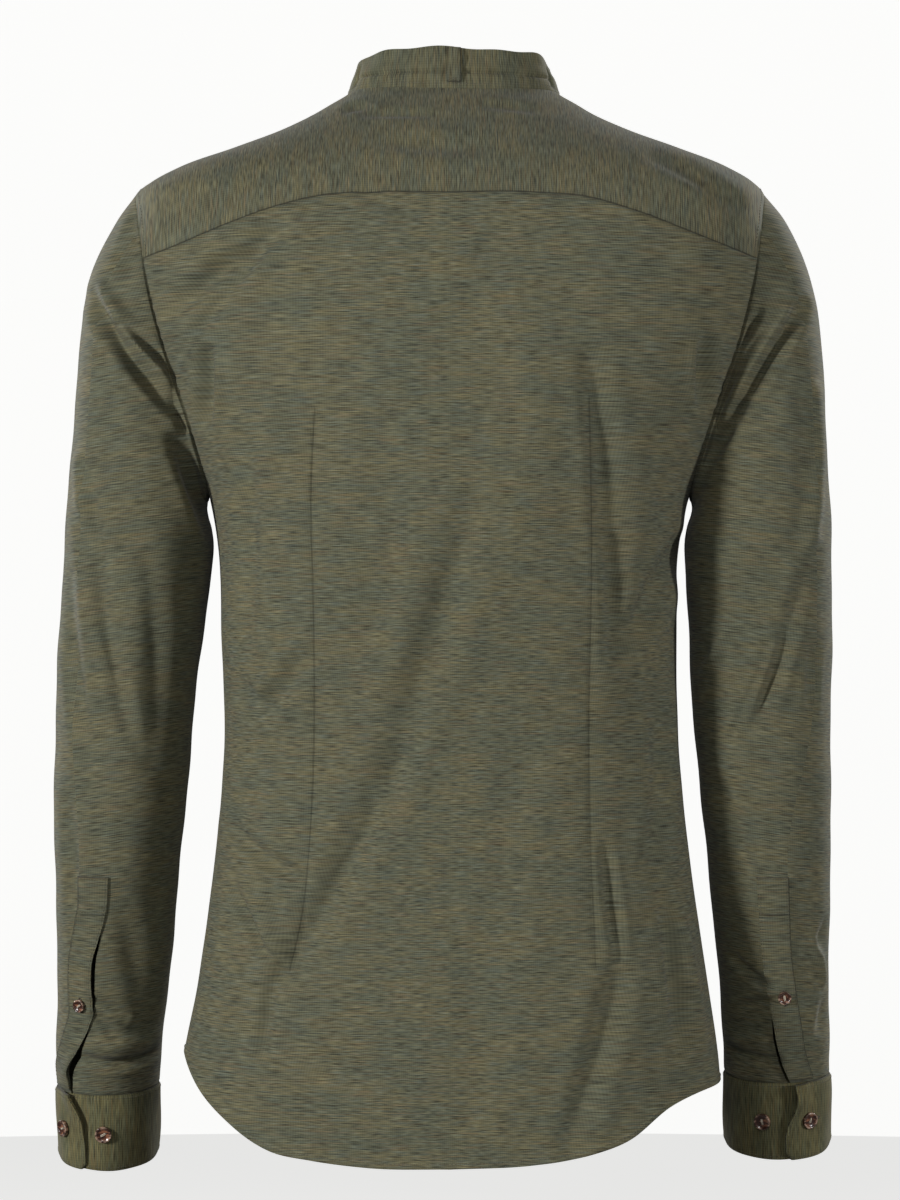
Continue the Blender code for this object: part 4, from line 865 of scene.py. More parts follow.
class Finish:
    """A material under construction."""

    def __init__(self, name, **constants):
        self.material = bpy.data.materials.new(name)
        self.material.use_nodes = True
        self.tree = self.material.node_tree
        self.shader = self.tree.nodes["Principled BSDF"]
        for key, value in constants.items():
            put(self.tree, value, self.shader.inputs[key.replace("_", " ").title().replace("Ior", "IOR")])

    def node(self, kind, values, output=0, **settings):
        made = self.tree.nodes.new(kind)
        for key, value in settings.items():
            setattr(made, key, value)
        for key, value in values.items():
            put(self.tree, value, made.inputs[key])
        return Wire(self.tree, made.outputs[output])

    def mix(self, share_of_second, first, second):
        values = {0: share_of_second, 6: first, 7: second}
        return self.node("ShaderNodeMix", values, 2, data_type="RGBA")

    def noise(self, place, stretch, detail=2.0, shift=(0, 0, 0)):
        scaled = self.node("ShaderNodeVectorMath", {0: place, 1: stretch, 2: shift}, operation="MULTIPLY_ADD")
        return self.node("ShaderNodeTexNoise", {"Vector": scaled, "Scale": 1.0, "Detail": detail})

    def surface(self, colour_wire, roughness, height=None, depth=0.0, strength=1.0):
        put(self.tree, colour_wire, self.shader.inputs["Base Color"])
        put(self.tree, roughness, self.shader.inputs["Roughness"])
        if height is not None:
            values = {"Height": height, "Distance": depth, "Strength": strength}
            normal = self.node("ShaderNodeBump", values)
            put(self.tree, normal, self.shader.inputs["Normal"])
        return self.material


def cloth(name, tone=(1, 1, 1), streaks=1.0):
    """Melange twill: long slubs of olive, grey and brown thread over a fine diagonal rib, with painted shade along the
    seams and darts.
    """
    sizes = bpy.context.scene.shirt_cloth
    finish = Finish(name, sheen_weight=0.10, sheen_roughness=0.5, specular_ior_level=0.25)
    place = finish.node("ShaderNodeUVMap", {}, uv_map="cloth")
    # The "seam" places give the distance from a seam or dart and the strength of its painted shade.
    line = finish.node("ShaderNodeUVMap", {}, uv_map="seam")
    line_split = finish.node("ShaderNodeSeparateXYZ", {0: line})
    seam_shade_strength = Wire(finish.tree, line_split.socket.node.outputs[1])
    seam = line_split.sum("ABSOLUTE", line_split) * 1000
    shade_in_seam = seam_shade_strength * (1 - seam.between(0.10, 0.90))
    shade_beside_seam = seam_shade_strength * (1 - seam.between(0.6, 3.5))
    along, across = 1 / sizes.streak, 1 / sizes.thread
    slub = finish.noise(place, (along, across, 1), 3.0)
    thin = finish.noise(place, (along * 2.2, across * 1.3, 1), 1.0, (7, 3, 0))
    band = finish.noise(place, (along * 0.6, across * 0.60, 1), 3.0, (2, 9, 0))
    hue = finish.noise(place, (along * 1.1, across * 0.80, 1), 3.0, (5, 1, 0))
    cloud = finish.noise(place, (14, 60, 1), 3.0, (1, 4, 0))
    split = finish.node("ShaderNodeSeparateXYZ", {0: place})
    other = Wire(finish.tree, split.socket.node.outputs[1])
    turn = 2 * math.pi / sizes.twill
    rib = ((split * turn).sine() - (other * turn).sine()) * 0.5

    def shade(linear):
        return tuple(channel * part for channel, part in zip(linear, tone))

    tint = finish.mix(cloud.between(0.38, 0.62), shade(sizes.olive), shade(sizes.warm))
    tint = finish.mix(hue.between(0.42, 0.66) * 0.60 * streaks, tint, shade(sizes.grey))
    tint = finish.mix(band.between(0.52, 0.66) * 0.42, tint, shade(sizes.brown))
    light = 1.0 + (slub - 0.5) * 2.4 + (thin - 0.5) * 2.0 + (cloud - 0.5) * 0.3 + rib * 0.15
    light = light.sum("MAXIMUM", light, 0.30)
    # Painted shade: a dark line in each seam and dart, and a faint darkening beside it.
    light = light * (1 - shade_in_seam * 0.80) * (1 - shade_beside_seam * 0.16)
    tint = finish.node("ShaderNodeVectorMath", {0: tint, "Scale": light}, operation="SCALE")
    height = slub * 0.5 + thin * 0.45 + rib * 0.12 - shade_in_seam * 1.4
    return finish.surface(tint, 0.76 + thin * 0.14, height, sizes.relief, 0.75)


def thread_finish(name, tint):
    """Sewing thread, lighter and darker at random in small patches."""
    finish = Finish(name, sheen_weight=0.15, specular_ior_level=0.3)
    place = finish.node("ShaderNodeTexCoord", {}, "Object")
    ply = finish.noise(place, (1500, 1500, 1500), 1.0)
    dark = tuple(channel * 0.55 for channel in tint)
    return finish.surface(finish.mix(ply.between(0.35, 0.65), dark, tuple(tint)), 0.75 + ply * 0.1)


def horn_finish():
    """Polished brown horn with copper streaks."""
    sizes = bpy.context.scene.shirt_buttons
    finish = Finish("horn", specular_ior_level=0.6, coat_weight=0.5, coat_roughness=0.12)
    place = finish.node("ShaderNodeTexCoord", {}, "Object")
    rim = finish.node("ShaderNodeAttribute", {}, "Fac", attribute_name="rim")
    wave = finish.noise(place, (230, 230, 520), 2.0)
    grain = finish.noise(place, (900, 900, 2600), 2.0, (3, 1, 2))
    tint = finish.mix(wave.between(0.46, 0.62) * (0.45 + grain * 0.6), tuple(sizes.horn), tuple(sizes.copper))
    # Pale rim: partly paler horn, partly a painted highlight.
    tint = finish.mix(rim * wave.between(0.40, 0.62) * 0.75, tint, tuple(sizes.rim))
    return finish.surface(tint, 0.22 + grain * 0.16, grain, 0.00004, 0.5)


def ground_finish(name, glow):
    """Matt paper, very slightly uneven, lit from behind."""
    ground = tuple(bpy.context.scene.shirt_studio.ground)
    finish = Finish(name, specular_ior_level=0.0, emission_color=ground, emission_strength=glow)
    place = finish.node("ShaderNodeTexCoord", {}, "Object")
    grain = finish.noise(place, (3, 3, 3), 2.0)
    darker = tuple(channel * 0.97 for channel in ground)
    return finish.surface(finish.mix(grain, ground, darker), 0.9 + grain * 0.05)


# ---- folds ----
def stroke(fold):
    """Places along a fold's curve and its strength there."""
    t = np.linspace(0, 1, FOLD_PLACES)
    strengths = 0.30 + 0.70 * np.sin(math.pi * np.clip(t * 0.9 + 0.05, 0, 1)) ** 0.7
    start, middle, end = np.array(fold[:6]).reshape(3, 2) / 1000
    t = t[:, None]
    return (1 - t) ** 2 * start + 2 * t * (1 - t) * (2 * middle - (start + end) / 2) + t**2 * end, strengths


def fold_depth(pieces, x, z):
    """How far the folds of some pieces sink the surface, at places in the plane seen from behind."""
    total = np.zeros(np.shape(x))
    for fold in [fold for piece in pieces for fold in FOLDS[piece]]:
        places, strengths = stroke(fold)
        width = fold.width / 1000
        low, high = places.min(0) - 4 * width, places.max(0) + 4 * width
        near = (x > low[0]) & (x < high[0]) & (z > low[1]) & (z < high[1])
        if not near.any():
            continue
        at = np.stack([x[near], z[near]], -1)
        gaps = np.linalg.norm(at[:, None] - places[None], axis=-1)
        closest = gaps.argmin(1)
        beside = gaps[np.arange(len(at)), closest] / width
        hollow = bump(beside, 1) - 0.22 * bump(beside - 1.9, 0.8)
        total[near] += fold.depth / 1000 * strengths[closest] * hollow
    return total


def dart_x(side, z):
    """x of a dart's seam at a height, and how much of the seam is left there: 1 on it and 0 past its ends."""
    rows = DARTS[side]
    x = smooth(-column(rows, "z"), column(rows, "x"), -z)
    return x, ease(rows[0].z, rows[0].z - 0.006, z) * ease(rows[-1].z, rows[-1].z + 0.006, z)


def dart_seam(points):
    """(signed distance from the nearest dart, how much of its seam is left there, scaled to the strength of its
    painted shade) for the material.
    """
    x, z = points[..., 0], points[..., 2]
    left, left_share = dart_x("left", z)
    right, right_share = dart_x("right", z)
    behind = ease(0.0, 0.02, points[..., 1])
    gap = np.where(x > 0, left - x, x - right)
    return np.stack([gap, np.where(x > 0, left_share, right_share) * behind * DART_SHADE], -1)


def waver(x, z, seed):
    """Broad, low unevenness of cloth that hangs."""
    wave = np.sin(x * 61 + z * 23 + seed) + np.sin(x * 37 - z * 47 + 2.1 * seed)
    wave = wave + 0.8 * np.sin(x * 113 + z * 71 + 1.3 * seed) + 0.6 * np.sin(-x * 83 + z * 139 + 0.7 * seed)
    return bpy.context.scene.shirt_cloth.waver * wave / 2


def body(turn, down):
    """(points, normals) of the body with its folds."""
    turn, down = np.broadcast_arrays(np.asarray(turn, float), np.asarray(down, float))
    points = body_base(turn, down)
    normals = body_normal(turn, down)
    x, y, z = np.moveaxis(points, -1, 0)
    behind, before = ease(0.0, 0.030, y), ease(0.0, 0.030, -y) * ease(0.022, 0.040, np.abs(x))
    depth = fold_depth(("yoke", "back"), x, z) * behind + fold_depth(("front",), x, z) * before
    depth = depth + waver(x, z, 1.0) * behind * ease(-0.03, -0.10, z) + waver(x, z, 4.0) * before
    gap, left_of_seam = np.moveaxis(dart_seam(points), -1, 0)
    left_of_seam = left_of_seam / DART_SHADE
    ripple = 0.00025 * np.sin(z * 520 + 3 * np.sin(z * 140)) * bump(gap, 0.005)
    groove = 0.0008 * bump(gap, 0.0012) + 0.0009 * bump(gap, 0.007)
    depth = depth + left_of_seam * (groove + ripple)
    return points - normals * (depth * clear_of_armhole(points))[..., None], normals


def sleeve(side, beta, v):
    """(points, normals) of a sleeve with its folds; v runs from 0 at the armhole."""
    beta, v = np.broadcast_arrays(np.asarray(beta, float), np.asarray(v, float))
    rows = SLEEVES[side]
    points = tube(side, rows, beta, v, arm_loop)
    normals = tube_normal(side, rows, beta, v, arm_loop)
    at_seam = to_chart(arm_loop(side, beta))
    seam_normal = body_normal(at_seam[..., 0], at_seam[..., 1])
    agree = ease(0.45, 0.95, np.sum(normals * seam_normal, -1))
    near = 1 - ease(0, 1, v)
    points = points + seam_normal * (SEAM_STAND * (1 - agree) * near)[..., None]
    normals = unit(normals + (seam_normal - normals) * (agree * near)[..., None])
    x, _, z = np.moveaxis(points, -1, 0)
    behind, before = ease(0.0, 0.65, np.sin(beta)), ease(0.0, 0.65, -np.sin(beta))
    depth = fold_depth((side,), x, z) * behind + fold_depth((side + "_front",), x, z) * before
    depth = depth + waver(x * 1.4, z, 2.0 if side == "left" else 3.3) * ease(1.0, 4.0, v)
    depth = depth * ease(0.02, 0.40, v) * (1 - ease(len(rows) - 0.9, len(rows) - 0.1, v))
    return points - normals * depth[..., None], normals


# ---- making pieces ----
def turned(grid, edge):
    """A grid with one of its edges (top, bottom, start or end) as its first row."""
    if edge in ("start", "end"):
        grid = grid.swapaxes(0, 1)
    return grid[::-1] if edge in ("bottom", "end") else grid


def turned_back(grid, edge):
    if edge in ("bottom", "end"):
        grid = grid[::-1]
    return grid.swapaxes(0, 1) if edge in ("start", "end") else grid


def padded(grid, *edges):
    """A grid with its first row twice more at some edges, beside the rows that tucked adds there."""
    for edge in edges:
        grid = turned(grid, edge)
        grid = turned_back(np.concatenate([grid[:1], grid[:1], grid]), edge)
    return grid


def gone_along(points):
    """How far each row of points is from the first, along the lines that run down the rows."""
    steps = np.linalg.norm(np.diff(points, axis=0), axis=-1)
    return np.concatenate([np.zeros((1, *steps.shape[1:])), np.cumsum(steps, 0)])


def at_places(places, gone, values):
    """Values at places along one line, where gone is how far along it each of them is."""
    return np.stack([np.interp(places, gone, values[:, k]) for k in range(3)], -1)


def edge_seam_shade(points, shade_strength, *edges):
    """(distance from the nearest of some edges of a grid, how strong the painted shade of a seam is there) for the
    material.
    """
    gap = np.full(points.shape[:2], 0.05)
    for edge in edges:
        gap = np.minimum(gap, turned_back(gone_along(turned(points, edge)), edge))
    return np.stack([gap, shade_strength * (1 - ease(0.007, 0.011, gap))], -1)


def filled(edges):
    """Chart places inside four edges, from their plan on few cells filled in on many."""
    plan = evened(patch(*edges(1)))
    rows, columns = plan.shape[:2]
    down = np.linspace(0, rows - 1, (rows - 1) * FINE + 1)
    across = np.linspace(0, columns - 1, (columns - 1) * FINE + 1)
    grid = smooth(np.arange(rows), plan, down)
    grid = np.moveaxis(smooth(np.arange(columns), np.moveaxis(grid, 1, 0), across), 0, 1)
    top, bottom, left, right = edges(FINE)
    return grid + patch(top - grid[0], bottom - grid[-1], left - grid[:, 0], right - grid[:, -1])


def tucked(points, normals, edge, reach, sink):
    """Adds rows that pass under the next piece at an edge of a grid. Returns grids of places and normals."""
    points, normals = turned(points, edge), turned(normals, edge)
    away = unit(points[0] - points[1])
    near = points[0] + away * reach * 0.25 - normals[0] * sink * 0.75
    far = points[0] + away * reach - normals[0] * sink
    first = points[0] - normals[0] * sink * 0.12
    points = np.concatenate([far[None], near[None], first[None], points[1:]])
    normals = np.concatenate([normals[:1], normals[:1], normals])
    return turned_back(points, edge), turned_back(normals, edge)


def hemmed(points, normals, width, extra):
    """Sets the last rows of a grid at the fold of its hem, and makes the hem thicker."""
    last = 5
    steps = np.array([width + 0.0022, width + 0.0008, width, width - 0.0005, width * 0.5, 0.0006, 0.0])
    tail = points[-last:][::-1]
    gone = gone_along(tail)
    rows = np.stack([at_places(steps, gone[:, j], tail[:, j]) for j in range(tail.shape[1])], 1)
    lift = extra * np.clip((width + 0.0002 - steps) / 0.0006, 0, 1) * np.clip(0.35 + steps / 0.0009, 0, 1)
    rows = rows + normals[-1] * lift[:, None, None]
    kept = points[: -last + 1]
    return (
        np.concatenate([kept, rows]),
        np.concatenate([normals[: -last + 1], np.repeat(normals[-1:], len(steps), 0)]),
    )


def added(name, data):
    """An object of the scene with some data."""
    made = bpy.data.objects.new(name, data)
    bpy.context.scene.collection.objects.link(made)
    return made


def smooth_mesh(name, points, faces, material):
    mesh = bpy.data.meshes.new(name)
    mesh.from_pydata(points.tolist(), [], faces.tolist())
    mesh.materials.append(material)
    mesh.shade_smooth()
    return mesh


def shell(name, points, normals, thickness, cloth_places, material, seam=None, wraps=False, keep=None):
    """A closed thin wall: points is the outer face as a grid, with a column more of cloth places if it wraps."""
    rows, columns = points.shape[:2]
    count = rows * columns
    number = np.arange(count).reshape(rows, columns)
    if wraps:
        number = np.concatenate([number, number[:, :1]], 1)
    places = np.arange(number.size).reshape(number.shape)

    def cells(grid):
        return np.stack([grid[:-1, :-1], grid[:-1, 1:], grid[1:, 1:], grid[1:, :-1]], -1).reshape(-1, 4)

    quads, corners = cells(number), cells(places)
    if keep is not None:
        quads, corners = quads[keep.ravel()], corners[keep.ravel()]
    flat, out = points.reshape(-1, 3), normals.reshape(-1, 3)
    facing = np.cross(flat[quads[:, 1]] - flat[quads[:, 0]], flat[quads[:, 3]] - flat[quads[:, 0]])
    if np.sum(facing * out[quads[:, 0]]) < 0:
        quads, corners = quads[:, ::-1], corners[:, ::-1]
    starts, ends = quads.ravel(), np.roll(quads, -1, 1).ravel()
    start_places, end_places = corners.ravel(), np.roll(corners, -1, 1).ravel()
    free = ~np.isin(starts * count + ends, ends * count + starts)
    a, b, c, d = starts[free], ends[free], start_places[free], end_places[free]
    faces = np.concatenate([quads, quads[:, ::-1] + count, np.stack([b, a, a + count, b + count], -1)])
    corners = np.concatenate([corners, corners[:, ::-1], np.stack([d, c, c, d], -1)])
    all_points = np.concatenate([flat, flat - out * thickness])
    used = np.unique(faces)
    faces = np.searchsorted(used, faces)
    mesh = smooth_mesh(name, all_points[used], faces, material)
    mesh.set_sharp_from_angle(angle=math.radians(60))
    layer = mesh.uv_layers.new(name="cloth")
    layer.data.foreach_set("uv", cloth_places.reshape(-1, 2)[corners].ravel().astype(np.float32))
    # seam holds the places of the painted shade along seams and darts: distance and strength.
    if seam is None:
        seam = np.zeros((count, 2))
    values = np.tile(seam.reshape(-1, 2), (2, 1))[used][faces.ravel()]
    mesh.uv_layers.new(name="seam").data.foreach_set("uv", values.ravel().astype(np.float32))
    mesh.uv_layers["cloth"].active_render = True
    return added(name, mesh)


def finish_cloth(made, node, outer_area):
    """Puts a cloth piece in the place of its solid; outer_area is not used."""
    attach(made, BODY_NAME)
    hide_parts(node)


def surface_area(points, wraps=False):
    if wraps:
        points = np.concatenate([points, points[:, :1]], 1)
    across, along = points[:-1, 1:] - points[:-1, :-1], points[1:, :-1] - points[:-1, :-1]
    return float(np.linalg.norm(np.cross(across, along), axis=-1).sum())


# ---- plans of the body's pieces ----
NECK_CORNER_TURN = math.radians(NECK_CORNER)


def yoke_edges(fine):
    neck = neck_seam(np.linspace(-NECK_CORNER_TURN, NECK_CORNER_TURN, NECK_BACK_CELLS * fine + 1))
    top = np.concatenate([front_seam("right", fine)[:-1], neck, front_seam("left", fine)[::-1][1:]])
    right = to_chart(arm_loop("right", arm_turns("yoke", fine)))
    left = to_chart(arm_loop("left", arm_turns("yoke", fine)))
    return top, back_seam(len(top) - 1), right, left


def back_edges(fine):
    cells = (NECK_BACK_CELLS + 2 * FRONT_SEAM_CELLS) * fine
    turns = np.linspace(-math.pi / 2, math.pi / 2, cells + 1)
    heights = np.where(turns > 0, hem_z("left", turns, True), hem_z("right", turns, True))
    bottom = np.stack([turns, down_at(heights)], -1)
    return back_seam(cells), bottom, outer_edge("right", "back", fine), outer_edge("left", "back", fine)


def front_edges(side, fine):
    neck = neck_seam(SIGN[side] * np.linspace(NECK_CORNER_TURN, math.pi, NECK_FRONT_CELLS * fine + 1))
    neck_end = neck[-1, 1]
    lap = np.array([lapped_turn(FRONT_LAP, neck_end, side), neck_end])
    past = neck[-1] + (lap - neck[-1]) * np.linspace(0, 1, fine + 1)[1:, None]
    top = np.concatenate([front_seam(side, fine)[:-1], neck, past])
    edge = outer_edge(side, "front", fine)
    foot = float(down_at(HEM_FRONT_Z))
    down = np.linspace(neck_end, foot, len(edge))
    inner = np.stack([lapped_turn(FRONT_LAP, down, side), down], -1)
    turns = edge[-1, 0] + (inner[-1, 0] - edge[-1, 0]) * np.linspace(0, 1, len(top))
    bottom = np.stack([turns, down_at(hem_z(side, turns, False))], -1)
    bottom[-1, 1] = foot
    return top, bottom, edge, inner


def gathered(chart):
    """Moves a line of the back's grid onto each dart, and its neighbours close to it."""
    z = body_base(chart[..., 0], chart[..., 1])[..., 2]
    for side, rows in DARTS.items():
        x, _ = dart_x(side, z[:, :1])
        wanted = np.full(z[:, :1].shape, SIGN[side] * 0.8)
        for _ in range(30):
            found = body_base(wanted, down_at(z[:, :1]))[..., 0]
            wanted = wanted + (x - found) / 0.15
        middle = z.shape[0] // 2
        column_number = int(np.argmin(np.abs(chart[middle, :, 0] - wanted[middle, 0])))
        away = np.arange(chart.shape[1]) - column_number
        shift = (wanted - chart[:, column_number : column_number + 1, 0]) * bump(away, 16)
        step = np.gradient(chart[..., 0], axis=1)
        pull = -0.60 * away * bump(away, 2.2) * step
        near = ease(rows[0].z + 0.07, rows[0].z + 0.01, z) * ease(rows[-1].z - 0.05, rows[-1].z, z)
        chart[..., 0] += (shift + pull) * near
    return chart


def panel(edges, arrange=None):
    chart = filled(edges)
    if arrange is not None:
        chart = arrange(chart)
    return body(chart[..., 0], chart[..., 1])


def front_panel(side):
    """(points, normals, step) of a front, where step sets it apart from the other front at their lap."""
    points, normals = panel(lambda fine: front_edges(side, fine))
    near = 1 - ease(*LAP_FADE, points[..., 0] * SIGN[side])
    return points, normals, normals * (SIGN[side] * LAP_STEP * near)[..., None]


def front_reach(below_neck, above_hem, count):
    """Distances down the front edge, from below the neck seam to above the hem."""
    ends = neck_seam(np.array([math.pi]))[0, 1], float(down_at(HEM_FRONT_Z))
    return np.linspace(ends[0] + below_neck, ends[1] - above_hem, count)


def cloth_plan(points, weft=True):
    """Places on the cloth in metres: the slubs run along the first."""
    turn = np.arctan2(points[..., 0], points[..., 1])
    turn = np.unwrap(turn, axis=1)
    across, down = turn * 0.155, -points[..., 2]
    return np.stack([across, down] if weft else [down + points[..., 1] * 0.6, points[..., 0]], -1)


class ShirtPiece:
    """What the operators that make one group of pieces share."""

    bl_options = {"REGISTER", "UNDO"}

    def execute(self, context):
        self.make(context)
        return {"FINISHED"}


class SHIRT_OT_yoke(ShirtPiece, bpy.types.Operator):
    """Make the yoke over the shoulders"""

    bl_idname = "shirt.yoke"
    bl_label = "Yoke"

    def make(self, context):
        points, normals = panel(yoke_edges)
        material = cloth("yoke cloth", (1, 0.99, 0.98))
        seam = edge_seam_shade(points, 0.6, "bottom")
        made = shell("yoke_cloth", points, normals, WALL, cloth_plan(points, False), material, seam)
        finish_cloth(made, "yoke", surface_area(points))


class SHIRT_OT_back(ShirtPiece, bpy.types.Operator):
    """Make the back with its two darts and its curved hem"""

    bl_idname = "shirt.back"
    bl_label = "Back"

    def make(self, context):
        points, normals = panel(back_edges, gathered)
        area = surface_area(points)
        points, normals = hemmed(points, normals, HEM_WIDTH, HEM_EXTRA)
        # Painted shade under the yoke's edge, along the side seams and along the darts.
        edge = edge_seam_shade(points, 0.75, "top")
        side = edge_seam_shade(points, 0.2, "start", "end")
        edge = np.where(edge[..., :1] < side[..., :1], edge, side)
        seam = np.where(edge[..., :1] < 0.009, edge, dart_seam(points))
        seam = padded(seam, "top")
        points, normals = tucked(points, normals, "top", 0.0035, 0.0012)
        material = cloth("back cloth")
        made = shell("back_cloth", points, normals, WALL, cloth_plan(points), material, seam)
        finish_cloth(made, "back", area)


class SHIRT_OT_fronts(ShirtPiece, bpy.types.Operator):
    """Make the two fronts, left over right"""

    bl_idname = "shirt.fronts"
    bl_label = "Fronts"

    def make(self, context):
        material = cloth("front cloth")
        for side in ("left", "right"):
            points, normals, step = front_panel(side)
            area = surface_area(points)
            points, normals = hemmed(points + step, normals, HEM_WIDTH, HEM_EXTRA)
            seam = padded(edge_seam_shade(points, 0.3, "top", "start"), "top", "start")
            points, normals = tucked(points, normals, "top", 0.0035, 0.0012)
            points, normals = tucked(points, normals, "start", 0.0030, 0.0011)
            made = shell(f"front_{side}_cloth", points, normals, WALL, cloth_plan(points), material, seam)
            finish_cloth(made, f"front_{side}", area)


class SHIRT_OT_front_placket(ShirtPiece, bpy.types.Operator):
    """Make the folded strip on the left front's edge"""

    bl_idname = "shirt.front_placket"
    bl_label = "Front placket"

    def make(self, context):
        down = front_reach(0.0006, 0.0004, 240)
        reach = np.linspace(FRONT_LAP - PLACKET_WIDTH, FRONT_LAP, 17)
        turns = np.stack([lapped_turn(x, down, "left") for x in reach], 1)
        points, normals = body(turns, np.repeat(down[:, None], len(reach), 1))
        edge = np.minimum(reach - reach[0], reach[-1] - reach)
        swell = 0.0003 * ease(0.0, 0.004, edge) * (1 + 0.5 * np.sin(down * 90))[:, None]
        lifted = points + normals * (PLACKET_LIFT + swell)[..., None]
        material = cloth("placket cloth", (0.97, 0.97, 0.97))
        made = shell("front_placket_cloth", lifted, normals, WALL, cloth_plan(points), material)
        area = surface_area(points)
        finish_cloth(made, "front_placket", area)


def band_wave(turns):
    """Unevenness of the band, from its back to its ends."""
    return 0.0006 * np.sin(turns * 5.0 + 0.6) + 0.0005 * np.sin(turns * 11.0)


def band_dip(turns):
    """How much lower the top edge of the band is where it turns to the side."""
    return -0.0068 * bump(np.abs(turns) - 1.45, 0.42)


def band_step(turns):
    """How far the band's ends step apart where they lap."""
    return BAND_STEP * (ease(2.0, 2.9, turns) - ease(2.0, 2.9, -turns))


class SHIRT_OT_collar(ShirtPiece, bpy.types.Operator):
    """Make the collar band and its hanger loop"""

    bl_idname = "shirt.collar"
    bl_label = "Collar band and loop"

    def make(self, context):
        material = cloth("band cloth", (0.96, 0.95, 0.92))
        lap = math.pi + BAND_LAP / NECK_HALF
        turns = np.linspace(-lap, lap, 260)
        shares = np.concatenate([[-0.10, -0.02], np.linspace(0.0, 1.0, 19)])
        wave = band_wave(turns)
        rise, out = np.meshgrid(shares, turns, indexing="ij")
        crease = 0.0022 * bump(rise - 0.36 - 0.05 * np.cos(out * 2.2), 0.040) * ease(0.1, 0.6, np.cos(out))
        upright = bump(np.abs(out) - 1.22, 0.05) * ease(0.02, 0.2, rise) * (1 - ease(0.70, 0.95, rise))
        crease = crease + 0.0022 * upright - 0.0008 * bump(rise - 0.52, 0.10) * ease(0.2, 0.8, np.cos(out))
        lifted = band_step(turns)[None] - crease + wave[None] * ease(0.4, 1.0, rise)
        lifted = lifted - 0.0009 * (1 - ease(-0.04, 0.0, rise))
        points, normals = band_surface(out, rise, lifted)
        points[..., 2] += (wave + band_dip(turns))[None] * 0.9 * ease(0.3, 1.0, rise)
        points[..., 2] -= 0.0006 * (1 - ease(-0.02, 0.04, rise))
        seam = edge_seam_shade(points[1:], 0.5, "top")
        seam = np.concatenate([seam[:1], seam])
        plan = np.stack([points[..., 2], out * NECK_HALF], -1)
        made = shell("collar_band_cloth", points, normals, BAND_WALL, plan, material, seam)
        finish_cloth(made, "collar_band", surface_area(points))
        self.make_loop(cloth("loop cloth", (0.9, 0.9, 0.9)))

    def make_loop(self, material):
        reach = np.linspace(-LOOP_WIDTH / 2, LOOP_WIDTH / 2, 9)
        shares = np.linspace(0.13, 0.995, 46)
        points, normals = band_surface(reach[None] / NECK_HALF, shares[:, None])
        along = (shares - shares[0]) / (shares[-1] - shares[0])
        bow = GAP + 0.0002 + LOOP_LIFT * np.sin(math.pi * along) ** 0.8
        roll = 0.0007 * (1 - (reach / reach[-1]) ** 2)
        lift = bow[:, None] + WALL + roll[None] * np.sin(math.pi * along)[:, None]
        points = points + normals * lift[..., None]
        plan = np.stack([np.repeat(points[:, :1, 2], 9, 1), np.repeat(reach[None], 46, 0)], -1)
        seam = edge_seam_shade(points, 0.6, "start", "end", "top")
        made = shell("hanger_loop_cloth", points, normals, WALL, plan, material, seam)
        area = surface_area(points)
        finish_cloth(made, "hanger_loop", area)


def sleeve_rows(side, count):
    """Rows down a sleeve, closer together at the cuff, with their heights at the back."""
    v = np.linspace(0, len(SLEEVES[side]), count)
    heights = tube(side, SLEEVES[side], np.full(v.shape, math.pi / 2), v, arm_loop)[:, 2]
    return v, heights


def placket_opening(side, z):
    rows = OPENING[::-1]
    return smooth(column(rows, "z"), column(rows, side), z)


def sleeve_turns(side, heights):
    """Ring places of a sleeve's columns by row: even at the armhole, along the placket at the cuff."""
    front = arm_turns("front")[::-1] + 2 * math.pi
    arm = np.concatenate([arm_turns("yoke")[:-1], arm_turns("back")[:-1], front[:-1]])
    count = len(arm)
    pivot = int(np.argmin(np.abs(arm - math.radians(78))))
    edge = placket_edge(side, heights)[:, None]
    width = SLEEVE_PLACKET_WIDTH / FOREARM
    opening = placket_opening(side, heights)[:, None] / FOREARM
    special = [edge - width, edge - width / 2, edge - 0.0024 / FOREARM, edge + opening]
    rest = count - len(special)
    t = (np.arange(rest) + 1) / (rest + 1)
    around = special[3] + (special[0] + 2 * math.pi - special[3]) * t
    lower = np.concatenate([*special, around], 1)
    upper = np.concatenate([arm[pivot - 2 :], arm[: pivot - 2] + 2 * math.pi])[None, :]
    coarse = upper + (lower - upper) * ease(0.40, 0.53, -heights)[:, None]
    coarse = np.concatenate([coarse, coarse[:, :1] + 2 * math.pi], 1)
    at = np.linspace(0, count, count * SLEEVE_FINE + 1)[:-1]
    low = at.astype(int)
    return coarse[:, low] + (coarse[:, low + 1] - coarse[:, low]) * (at - low)


